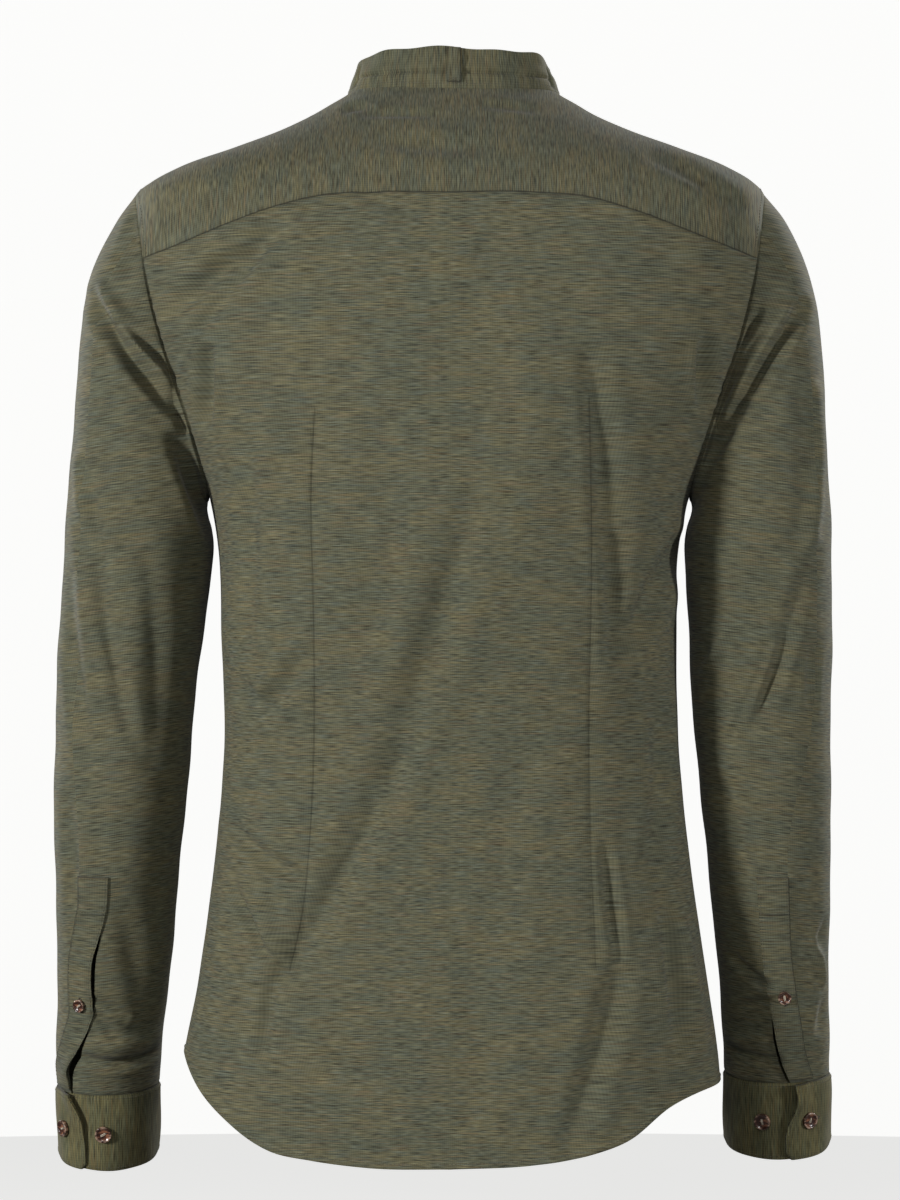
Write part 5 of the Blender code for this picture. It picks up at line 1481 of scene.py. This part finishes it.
class SHIRT_OT_sleeves(ShirtPiece, bpy.types.Operator):
    """Make the two sleeves, open along their plackets"""

    bl_idname = "shirt.sleeves"
    bl_label = "Sleeves"

    def make(self, context):
        material = cloth("sleeve cloth", (0.96, 0.96, 0.96))
        for side in ("left", "right"):
            v, heights = sleeve_rows(side, SLEEVE_ROWS)
            turns = sleeve_turns(side, heights)
            points, normals = sleeve(side, turns, np.repeat(v[:, None], turns.shape[1], 1))
            area = surface_area(points, True)
            kept = np.ones((len(v) - 1, turns.shape[1]), bool)
            kept[heights[:-1] < SLIT_TOP, 2 * SLEEVE_FINE : 3 * SLEEVE_FINE] = False
            plan = np.concatenate([turns, turns[:, :1] + 2 * math.pi], 1) * 0.048
            tilt = np.concatenate([points[..., 2], points[:, :1, 2]], 1)
            lean = np.abs(np.concatenate([points[..., 0], points[:, :1, 0]], 1))
            plan = np.stack([plan, -tilt - 0.12 * lean], -1)
            seam = padded(edge_seam_shade(points, 0.2, "top"), "top", "bottom")
            points, normals = tucked(points, normals, "top", 0.0030, 0.0011)
            points, normals = tucked(points, normals, "bottom", 0.0045, 0.0022)
            plan = padded(plan, "top", "bottom")
            plan[:2, :, 1] -= np.array([0.003, 0.001])[:, None]
            plan[-2:, :, 1] += np.array([0.001, 0.004])[:, None]
            kept = padded(kept, "top", "bottom")
            made = shell(f"sleeve_{side}_cloth", points, normals, WALL, plan, material, seam, True, kept)
            finish_cloth(made, f"sleeve_{side}", area)


def placket_strip(side):
    """(points, normals, plan) of the strip on a sleeve's slit: it lifts towards its free edge."""
    heights = np.linspace(PLACKET_TOP, SLEEVES[side][-1].outer_z - 0.002, 110)
    fine_v, fine_z = sleeve_rows(side, 900)
    v = np.interp(-heights, -fine_z, fine_v)
    width = SLEEVE_PLACKET_WIDTH / FOREARM
    across = np.linspace(0, 1, 21)
    beta = placket_edge(side, heights)[:, None] - width * (1 - across[None])
    points, normals = sleeve(side, beta, np.repeat(v[:, None], len(across), 1))
    opening = np.clip(placket_opening(side, heights), 0, None)[:, None]
    lift = GAP + 0.0004 + WALL + 0.35 * opening * ease(0.35, 1.0, across[None])
    plan = np.stack([beta * FOREARM, np.repeat(-heights[:, None], len(across), 1)], -1)
    return points + normals * lift[..., None], normals, plan


class SHIRT_OT_sleeve_plackets(ShirtPiece, bpy.types.Operator):
    """Make the strips on the sleeves' slits"""

    bl_idname = "shirt.sleeve_plackets"
    bl_label = "Sleeve plackets"

    def make(self, context):
        material = cloth("sleeve placket cloth", (0.95, 0.95, 0.95))
        for side in ("left", "right"):
            points, normals, plan = placket_strip(side)
            area = surface_area(points)
            seam = edge_seam_shade(points, 0.70, "start", "top")
            # Painted shade also along the sewn box across the strip.
            below = np.cumsum(np.linalg.norm(np.diff(points[:, 10], axis=0), axis=-1)) - PLACKET_BOX
            across = np.abs(np.concatenate([[-PLACKET_BOX], below]))[:, None]
            seam[..., 0] = np.minimum(seam[..., 0], across)
            seam[..., 1] = np.maximum(seam[..., 1], 0.70 * (1 - ease(0.003, 0.006, across)))
            seam, plan = padded(seam, "bottom"), padded(plan, "bottom")
            points, normals = tucked(points, normals, "bottom", 0.0030, 0.0020)
            made = shell(f"sleeve_placket_{side}_cloth", points, normals, WALL, plan, material, seam)
            finish_cloth(made, f"sleeve_placket_{side}", area)


def cuff_surface(side, gone, fall):
    """(points, normals) of a cuff. gone is radians round from its overlapping end, fall is 0 to 1 down."""
    gone, fall = np.broadcast_arrays(np.asarray(gone, float), np.asarray(fall, float))
    edge = np.radians(smooth(column(CUFF_ENDS, "fall"), column(CUFF_ENDS, side), fall))
    beta = edge - gone
    v = fall * (len(CUFFS[side]) - 1)
    points = tube(side, CUFFS[side], beta, v)
    normals = tube_normal(side, CUFFS[side], beta, v)
    step = CUFF_STEP * ((1 - ease(20, 80, np.degrees(gone))) - ease(320, 365, np.degrees(gone)))
    gape = CUFF_GAPE[side] * (1 - ease(0, 24, np.degrees(gone))) * ease(*CUFF_GAPE_FALL[side], fall)
    edge_round = 0.0009 * (1 - ease(0.0, 0.05, fall)) + 0.0006 * (1 - ease(0.0, 0.025, 1 - fall))
    swell = 0.0005 * np.sin(math.pi * fall) - edge_round
    swell = swell + 0.0004 * np.sin(beta * 3 + 5 * fall) + 0.0003 * np.sin(beta * 7 - 4 * fall)
    return points + normals * (step + gape + swell)[..., None], normals


def cuff_button_place(side, offset):
    """How far round a cuff a button is, in radians from the overlapping end."""
    edge = float(smooth(column(CUFF_ENDS, "fall"), column(CUFF_ENDS, side), 0.5))
    at = sum(CUFF_EDGE[side]) / 2 + offset
    return math.radians((edge - at) % 360)


class SHIRT_OT_cuffs(ShirtPiece, bpy.types.Operator):
    """Make the two cuffs, each lapped over itself"""

    bl_idname = "shirt.cuffs"
    bl_label = "Cuffs"

    def make(self, context):
        material = cloth("cuff cloth", (1.02, 0.97, 0.76))
        for side in ("left", "right"):
            gone = np.linspace(0, 2 * math.pi + math.radians(CUFF_LAP), 190)
            fall = np.linspace(0, 1, 30)
            grid = np.meshgrid(gone, fall)
            points, normals = cuff_surface(side, *grid)
            points[..., 2] += CUFF_CORNER * (1 - ease(0.0, 0.09, grid[0])) * (1 - ease(0.0, 0.10, 1 - grid[1]))
            edge = np.radians(smooth(column(CUFF_ENDS, "fall"), column(CUFF_ENDS, side), grid[1]))
            plan = np.stack([-points[..., 2], (grid[0] - edge) * CUFF_RADIUS], -1)
            seam = edge_seam_shade(points, 0.55, "top")
            made = shell(f"cuff_{side}_cloth", points, normals, BAND_WALL, plan, material, seam)
            finish_cloth(made, f"cuff_{side}", surface_area(points))


# ---- sewing ----
def thread_run(points, normals, lift, sizes):
    """(points, faces) of stitches along a line on the cloth."""
    gone = gone_along(points)
    middles = np.arange(sizes.pitch / 2, gone[-1] - sizes.stitch / 2, sizes.pitch)
    if not len(middles):
        return np.zeros((0, 3)), np.zeros((0, 4), int)

    # Along the stitch, its thickness there and its rise.
    profile = ((-0.5, 0.15, -0.5), (-0.28, 0.9, 0.35), (0.0, 1.0, 0.55), (0.28, 0.9, 0.35), (0.5, 0.15, -0.5))
    corners = ((1, 0), (0, 1), (-1, 0), (0, -1))
    out = unit(at_places(middles, gone, normals))
    along = unit(at_places(middles + 4e-4, gone, points) - at_places(middles - 4e-4, gone, points))
    side = unit(np.cross(out, along))
    half = sizes.width / 2
    grids = []
    for run, thick, rise in profile:
        spine = at_places(middles + run * sizes.stitch, gone, points) + out * (lift + rise * sizes.width)
        for across, up in corners:
            grids.append(spine + (side * across * 1.15 + out * up) * half * thick)
    places = np.stack(grids, 1)
    ring = len(corners)
    cells = []
    for row in range(len(profile) - 1):
        for n in range(ring):
            m = (n + 1) % ring
            cells.append((row * ring + n, row * ring + m, (row + 1) * ring + m, (row + 1) * ring + n))
    cells.append(tuple(reversed(range(ring))))
    cells.append(tuple((len(profile) - 1) * ring + n for n in range(ring)))
    cells = np.array(cells)
    first = places[0]
    quad = cells[1]
    facing = np.cross(first[quad[1]] - first[quad[0]], first[quad[3]] - first[quad[0]])
    if facing @ (first[quad].mean(0) - first.mean(0)) < 0:
        cells = cells[:, ::-1]
    faces = (cells[None] + np.arange(len(middles))[:, None, None] * places.shape[1]).reshape(-1, 4)
    return places.reshape(-1, 3), faces


def finish_thread(made):
    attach(made, BODY_NAME)


def sew(name, runs, material, lift=0.0):
    """One object of stitches along several lines, each (points, normals)."""
    sizes = bpy.context.scene.shirt_sewing
    points, faces, count = [], [], 0
    for line, normals in runs:
        more, cells = thread_run(line, normals, lift, sizes)
        points.append(more)
        faces.append(cells + count)
        count += len(more)
    mesh = smooth_mesh(name, np.concatenate(points), np.concatenate(faces), material)
    finish_thread(added(name, mesh))


def inset_rows(points, normals, edge, distance):
    """(points, normals) of a line inside one edge of a grid, at a distance from it."""
    places = turned(points, edge)
    gone = gone_along(places)
    line = [at_places(distance, gone[:, j], places[:, j]) for j in range(places.shape[1])]
    return np.array(line), turned(normals, edge)[0]


class SHIRT_OT_sewing(ShirtPiece, bpy.types.Operator):
    """Sew the seams, the hem, the plackets and the cuffs"""

    bl_idname = "shirt.sewing"
    bl_label = "Sewing"

    def make(self, context):
        material = thread_finish("sewing thread", context.scene.shirt_sewing.thread)
        self.sew_body(material)
        self.sew_plackets(material)
        self.sew_cuffs(material)

    def sew_body(self, material):
        points, normals = panel(yoke_edges)
        sew("yoke_stitching", [inset_rows(points, normals, edge, ARM_STITCH) for edge in ("start", "end")], material)
        points, normals = panel(back_edges, gathered)
        runs = [inset_rows(points, normals, "bottom", HEM_STITCH)]
        for side in ("left", "right"):
            points, normals, step = front_panel(side)
            runs.append(inset_rows(points + step, normals, "bottom", HEM_STITCH))
        sew("hem_stitching", runs, material, HEM_EXTRA)
        down = front_reach(0.002, 0.002, 400)
        runs = []
        for x in (FRONT_LAP - PLACKET_WIDTH + PLACKET_STITCH, FRONT_LAP - PLACKET_STITCH):
            line, out = body(lapped_turn(x, down, "left"), down)
            runs.append((line + out * (PLACKET_LIFT + 0.0003), out))
        sew("front_placket_stitching", runs, material)
        turns = np.linspace(-math.pi - 0.12, math.pi + 0.12, 700)
        sew("band_stitching", [band_surface(turns, 0.10, band_step(turns))], material)
        self.sew_loop(material)

    def sew_loop(self, material):
        reach = np.linspace(-LOOP_WIDTH / 2 + 0.0006, LOOP_WIDTH / 2 - 0.0006, 40)
        runs = []
        for rise in (0.155, 0.20):
            line, out = band_surface(reach / NECK_HALF, rise)
            runs.append((line + out * (GAP + 0.0006 + WALL + 0.0004), out))
        sew("loop_stitching", runs, material)

    def sew_plackets(self, material):
        for side in ("left", "right"):
            points, normals, _ = placket_strip(side)
            lines = (("start", 0.0012), ("end", 0.0014), ("top", 0.0012), ("top", PLACKET_BOX - 0.0010))
            runs = [inset_rows(points, normals, edge, distance) for edge, distance in lines]
            sew(f"placket_stitching_{side}", runs, material)

    def sew_cuffs(self, material):
        runs = []
        for side in ("left", "right"):
            for fall in (0.045, 0.955):
                gone = np.linspace(0.03, 2 * math.pi + 0.2, 500)
                runs.append(cuff_surface(side, gone, fall))
            fall = np.linspace(0.05, 0.95, 60)
            runs.append(cuff_surface(side, 0.045, fall))
        sew("cuff_stitching", runs, material)


class SHIRT_OT_buttonholes(ShirtPiece, bpy.types.Operator):
    """Work the buttonholes of the front, the band, the plackets and the cuffs"""

    bl_idname = "shirt.buttonholes"
    bl_label = "Buttonholes"

    def make(self, context):
        material = thread_finish("buttonhole thread", tuple(c * 0.8 for c in context.scene.shirt_sewing.thread))
        holes = []
        for n in range(FRONT_BUTTONS):
            down = down_at(FRONT_BUTTON_TOP - n * FRONT_BUTTON_STEP + np.linspace(-0.0080, 0.0080, 60))
            line, out = body(math.pi, down)
            holes.append((line + out * (PLACKET_LIFT + 0.0003), out))
        turns = math.pi + np.linspace(-0.0075, 0.0075, 60) / NECK_HALF
        holes.append(band_surface(turns, 0.5, BAND_STEP))
        for side in ("left", "right"):
            gone = cuff_button_place(side, CUFF_BUTTONS[0]) + np.linspace(-0.0040, 0.0110, 70) / CUFF_RADIUS
            holes.append(cuff_surface(side, gone, 0.5))
            points, normals, _ = placket_strip(side)
            at = PLACKET_BUTTON_COLUMN[side]
            near = np.abs(points[:, at, 2] - PLACKET_BUTTON_Z[side]) < 0.0065
            holes.append((points[near, at], normals[near, at]))
        for n, (line, out) in enumerate(holes):
            self.work(f"buttonhole_{n + 1}", line, out, material)

    def work(self, name, line, out, material):
        """Close, cross-wise stitches on both sides of a cut."""
        gone = gone_along(line)
        places = np.arange(0.0003, gone[-1] - 0.0003, HOLE_PITCH)
        at = at_places(places, gone, line)
        face = unit(at_places(places, gone, out))
        along = unit(np.gradient(at, axis=0))
        side = unit(np.cross(face, along))
        points, faces = [], []
        for which in (-1, 1):
            for n, place in enumerate(at):
                base = len(points)
                for reach, rise in HOLE_PROFILE:
                    for across in (-HOLE_HALF, HOLE_HALF):
                        points.append(place + side[n] * which * reach + face[n] * rise + along[n] * across)
                faces += [[base + corner for corner in quad[::-which]] for quad in HOLE_FACES]
        mesh = smooth_mesh(name, np.array(points), np.array(faces), material)
        shaped = bmesh.new()
        shaped.from_mesh(mesh)
        bmesh.ops.recalc_face_normals(shaped, faces=shaped.faces)
        shaped.to_mesh(mesh)
        shaped.free()
        finish_thread(added(name, mesh))


# ---- buttons ----
def choose(*chosen):
    """Selects these objects and no others, and makes the last of them the active one."""
    for made in bpy.context.selected_objects:
        made.select_set(False)
    for made in chosen:
        made.select_set(True)
        bpy.context.view_layer.objects.active = made


def pick_faces(mesh, test):
    """Selects the faces of a mesh in edit mode by a test on their middle and normal."""
    shaped = bmesh.from_edit_mesh(mesh)
    for kind in (shaped.verts, shaped.edges, shaped.faces):
        for element in kind:
            element.select_set(False)
    for face in shaped.faces:
        if test(face.calc_center_median(), face.normal):
            face.select_set(True)
    bmesh.update_edit_mesh(mesh)


def turned_button(width, horn, thread):
    """A button at the origin facing +Z: a rounded rim, a dished middle and two holes with their thread."""
    sides = bpy.context.scene.shirt_buttons.sides
    choose()
    bpy.ops.mesh.primitive_cylinder_add(vertices=sides, radius=width / 2, depth=BUTTON_HEIGHT, location=(0, 0, 0))
    made = bpy.context.object
    mesh = made.data
    bpy.ops.object.mode_set(mode="EDIT")
    bpy.ops.mesh.select_mode(type="FACE")
    pick_faces(mesh, lambda middle, normal: normal.z > 0.9)
    for inwards, up in DISH:
        bpy.ops.mesh.inset(thickness=width * inwards, depth=BUTTON_HEIGHT * up)
    pick_faces(mesh, lambda middle, normal: normal.z < -0.9)
    bpy.ops.mesh.inset(thickness=width * 0.090, depth=BUTTON_HEIGHT * 0.12)
    bpy.ops.object.mode_set(mode="OBJECT")
    bevel = made.modifiers.new("edge", "BEVEL")
    bevel.width, bevel.segments, bevel.limit_method, bevel.angle_limit = 0.00028, 3, "ANGLE", math.radians(35)
    bpy.ops.object.modifier_apply(modifier=bevel.name)
    for reach in (-1, 1):
        choose()
        bpy.ops.mesh.primitive_cylinder_add(vertices=16, radius=0.00085, depth=0.008, location=(reach * 0.00155, 0, 0))
        drill = bpy.context.object
        choose(made)
        hole = made.modifiers.new("hole", "BOOLEAN")
        hole.object, hole.operation, hole.solver = drill, "DIFFERENCE", "EXACT"
        bpy.ops.object.modifier_apply(modifier=hole.name)
        bpy.data.objects.remove(drill, do_unlink=True)
    mesh.materials.clear()
    mesh.materials.append(horn)
    mesh.materials.append(thread)
    strands = []
    for offset in (-0.00042, 0.0, 0.00042):
        choose()
        bpy.ops.mesh.primitive_uv_sphere_add(segments=12, ring_count=8, radius=1, location=(0, offset, 0))
        strand = bpy.context.object
        strand.scale = (0.00225, 0.00030, 0.00075)
        strand.location.z = BUTTON_HEIGHT * 0.13
        bpy.ops.object.transform_apply(location=True, rotation=True, scale=True)
        strand.data.materials.append(horn)
        strand.data.materials.append(thread)
        for face in strand.data.polygons:
            face.material_index = 1
        strands.append(strand)
    choose(*strands, made)
    bpy.ops.object.join()
    bpy.ops.object.shade_smooth_by_angle(angle=math.radians(40))
    places = np.array([tuple(vertex.co) for vertex in mesh.vertices])
    out_from_middle = np.hypot(places[:, 0], places[:, 1]) / (width / 2)
    # Mask of the rim, for its paler tone and its painted highlight.
    rim = ease(0.74, 0.86, out_from_middle) * ease(-0.2, 0.2, places[:, 2] / BUTTON_HEIGHT)
    mesh.attributes.new("rim", "FLOAT", "POINT").data.foreach_set("value", rim.astype(np.float32))
    return made


class SHIRT_OT_buttons(ShirtPiece, bpy.types.Operator):
    """Turn the buttons and sew them on"""

    bl_idname = "shirt.buttons"
    bl_label = "Buttons"

    def make(self, context):
        horn = horn_finish()
        thread = thread_finish("button thread", context.scene.shirt_sewing.pale)
        patterns = {width: turned_button(width, horn, thread) for width in (BUTTON, SMALL_BUTTON)}
        for n, (node, place, out, turn, width) in enumerate(self.seats()):
            self.seat(patterns[width], node, place, out, turn + 0.37 * n)
        for pattern in patterns.values():
            bpy.data.objects.remove(pattern, do_unlink=True)

    def seats(self):
        """(node, place, direction, turn, width) of each button's back."""
        for n in range(FRONT_BUTTONS):
            z = FRONT_BUTTON_TOP - n * FRONT_BUTTON_STEP
            place, out = body(np.array([math.pi]), down_at(np.array([z])))
            lift = LAP_STEP + 2 * GAP + WALL + BUTTON_SEAT
            yield f"front_button_{n + 1}", place[0] + out[0] * lift, out[0], 0.0, BUTTON
        place, out = band_surface(np.array([math.pi]), np.array([0.5]), np.array([BAND_STEP]))
        yield "collar_button", place[0] + out[0] * BUTTON_SEAT, out[0], 0.0, BUTTON
        for side in ("left", "right"):
            points, normals, _ = placket_strip(side)
            at = PLACKET_BUTTON_COLUMN[side]
            row = int(np.argmin(np.abs(points[:, at, 2] - PLACKET_BUTTON_Z[side])))
            seat = points[row, at] + normals[row, at] * BUTTON_SEAT
            yield f"placket_button_{side}", seat, normals[row, at], 1.2, SMALL_BUTTON
            for n, offset in enumerate(CUFF_BUTTONS):
                place, out = cuff_surface(side, np.array([cuff_button_place(side, offset)]), np.array([0.5]))
                yield f"cuff_button_{side}_{n + 1}", place[0] + out[0] * BUTTON_SEAT, out[0], 0.4, BUTTON

    def seat(self, pattern, node, place, out, turn):
        made = pattern.copy()
        made.data = pattern.data.copy()
        made.name = f"{node}_turned"
        bpy.context.scene.collection.objects.link(made)
        out = Vector(out).normalized()
        rise = Vector(place) + out * BUTTON_HEIGHT / 2
        facing = out.to_track_quat("Z", "Y").to_matrix().to_4x4()
        made.data.transform(Matrix.Translation(rise) @ facing @ Matrix.Rotation(turn, 4, "Z"))
        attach(made, BODY_NAME)
        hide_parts(node)


# ---- studio ----
class SHIRT_OT_studio(bpy.types.Operator):
    """Set the floor, the wall behind, the lights and the camera"""

    bl_idname = "shirt.studio"
    bl_label = "Studio"

    def execute(self, context):
        sizes = context.scene.shirt_studio
        self.ground(sizes)
        self.lights(sizes)
        self.camera(sizes)
        context.scene.view_settings.view_transform = "Standard"
        return {"FINISHED"}

    def ground(self, sizes):
        """A floor, and a pale dome that only the camera sees and that throws no light."""
        choose()
        bpy.ops.mesh.primitive_circle_add(vertices=96, radius=6.4, fill_type="NGON", location=(0, 0, -sizes.drop))
        floor = bpy.context.object
        bpy.ops.object.transform_apply(location=True)
        choose()
        bpy.ops.mesh.primitive_uv_sphere_add(segments=64, ring_count=32, radius=6.5, location=(0, 0, -sizes.drop))
        dome = bpy.context.object
        bpy.ops.object.transform_apply(location=True)
        dome.data.flip_normals()
        dome.data.shade_smooth()
        for made, name, glow in ((floor, "floor", 0.80), (dome, "backdrop", 0.92)):
            made.name = name
            made.data.materials.append(ground_finish(name, glow))
            made.visible_diffuse = made.visible_glossy = False
        dome.visible_shadow = False

    def light(self, name, place, power, size, aim=(0, 0, -0.35)):
        lamp = bpy.data.lights.new(name, "AREA")
        lamp.shape, lamp.size, lamp.energy = "DISK", size, power
        made = added(name, lamp)
        made.location = place
        made.rotation_euler = (Vector(aim) - Vector(place)).to_track_quat("-Z", "Y").to_euler()

    def lights(self, sizes):
        self.light("key", (2.3, 1.9, 0.0), sizes.key, 0.5)
        self.light("second", (-2.8, 1.4, -0.2), sizes.key * 0.52, 0.5)
        self.light("over the camera", (0.1, 2.9, 0.5), sizes.key * 0.24, 0.8)
        self.light("front", (-2.0, -2.2, 1.0), sizes.fill, 0.8)
        self.light("front second", (2.1, -2.1, 0.5), sizes.fill * 0.7, 0.9)
        world = bpy.data.worlds.new("air")
        world.use_nodes = True
        sky = world.node_tree.nodes["Background"]
        sky.inputs["Color"].default_value = (1, 1, 1, 1)
        sky.inputs["Strength"].default_value = sizes.air
        bpy.context.scene.world = world

    def camera(self, sizes):
        view = bpy.data.cameras.new("camera")
        view.sensor_fit = "VERTICAL"
        view.angle = 2 * math.atan(VIEW_HALF / sizes.distance)
        made = added("camera", view)
        made.location = (0, sizes.distance, -sizes.middle)
        made.rotation_euler = (math.radians(90), 0, math.radians(180))
        bpy.context.scene.camera = made


class SHIRT_PT_panel(bpy.types.Panel):
    """Lists the pieces of the shirt and their sizes"""

    bl_idname = "SHIRT_PT_panel"
    bl_label = "Band collar shirt"
    bl_space_type = "VIEW_3D"
    bl_region_type = "UI"
    bl_category = "Shirt"

    def draw(self, context):
        for operator in OPERATORS:
            self.layout.operator(operator.bl_idname)
        for name, group in GROUPS.items():
            box = self.layout.box()
            box.label(text=group.__name__)
            for key in group.__annotations__:
                box.prop(getattr(context.scene, name), key)


GROUPS = {
    "shirt_cloth": ShirtCloth,
    "shirt_sewing": ShirtSewing,
    "shirt_buttons": ShirtButtons,
    "shirt_studio": ShirtStudio,
}
OPERATORS = (
    SHIRT_OT_studio,
    SHIRT_OT_yoke,
    SHIRT_OT_back,
    SHIRT_OT_fronts,
    SHIRT_OT_front_placket,
    SHIRT_OT_collar,
    SHIRT_OT_sleeves,
    SHIRT_OT_sleeve_plackets,
    SHIRT_OT_cuffs,
    SHIRT_OT_sewing,
    SHIRT_OT_buttonholes,
    SHIRT_OT_buttons,
)


def register():
    for group in GROUPS.values():
        bpy.utils.register_class(group)
    for name, group in GROUPS.items():
        setattr(bpy.types.Scene, name, PointerProperty(type=group))
    for operator in OPERATORS:
        bpy.utils.register_class(operator)
    bpy.utils.register_class(SHIRT_PT_panel)


def unregister():
    bpy.utils.unregister_class(SHIRT_PT_panel)
    for operator in reversed(OPERATORS):
        bpy.utils.unregister_class(operator)
    for name in GROUPS:
        delattr(bpy.types.Scene, name)
    for group in reversed(GROUPS.values()):
        bpy.utils.unregister_class(group)


def main():
    register()
    bpy.ops.shirt.studio()
    bpy.ops.shirt.yoke()
    bpy.ops.shirt.back()
    bpy.ops.shirt.fronts()
    bpy.ops.shirt.front_placket()
    bpy.ops.shirt.collar()
    bpy.ops.shirt.sleeves()
    bpy.ops.shirt.sleeve_plackets()
    bpy.ops.shirt.cuffs()
    bpy.ops.shirt.sewing()
    bpy.ops.shirt.buttonholes()
    bpy.ops.shirt.buttons()


if __name__ == "__main__":
    main()
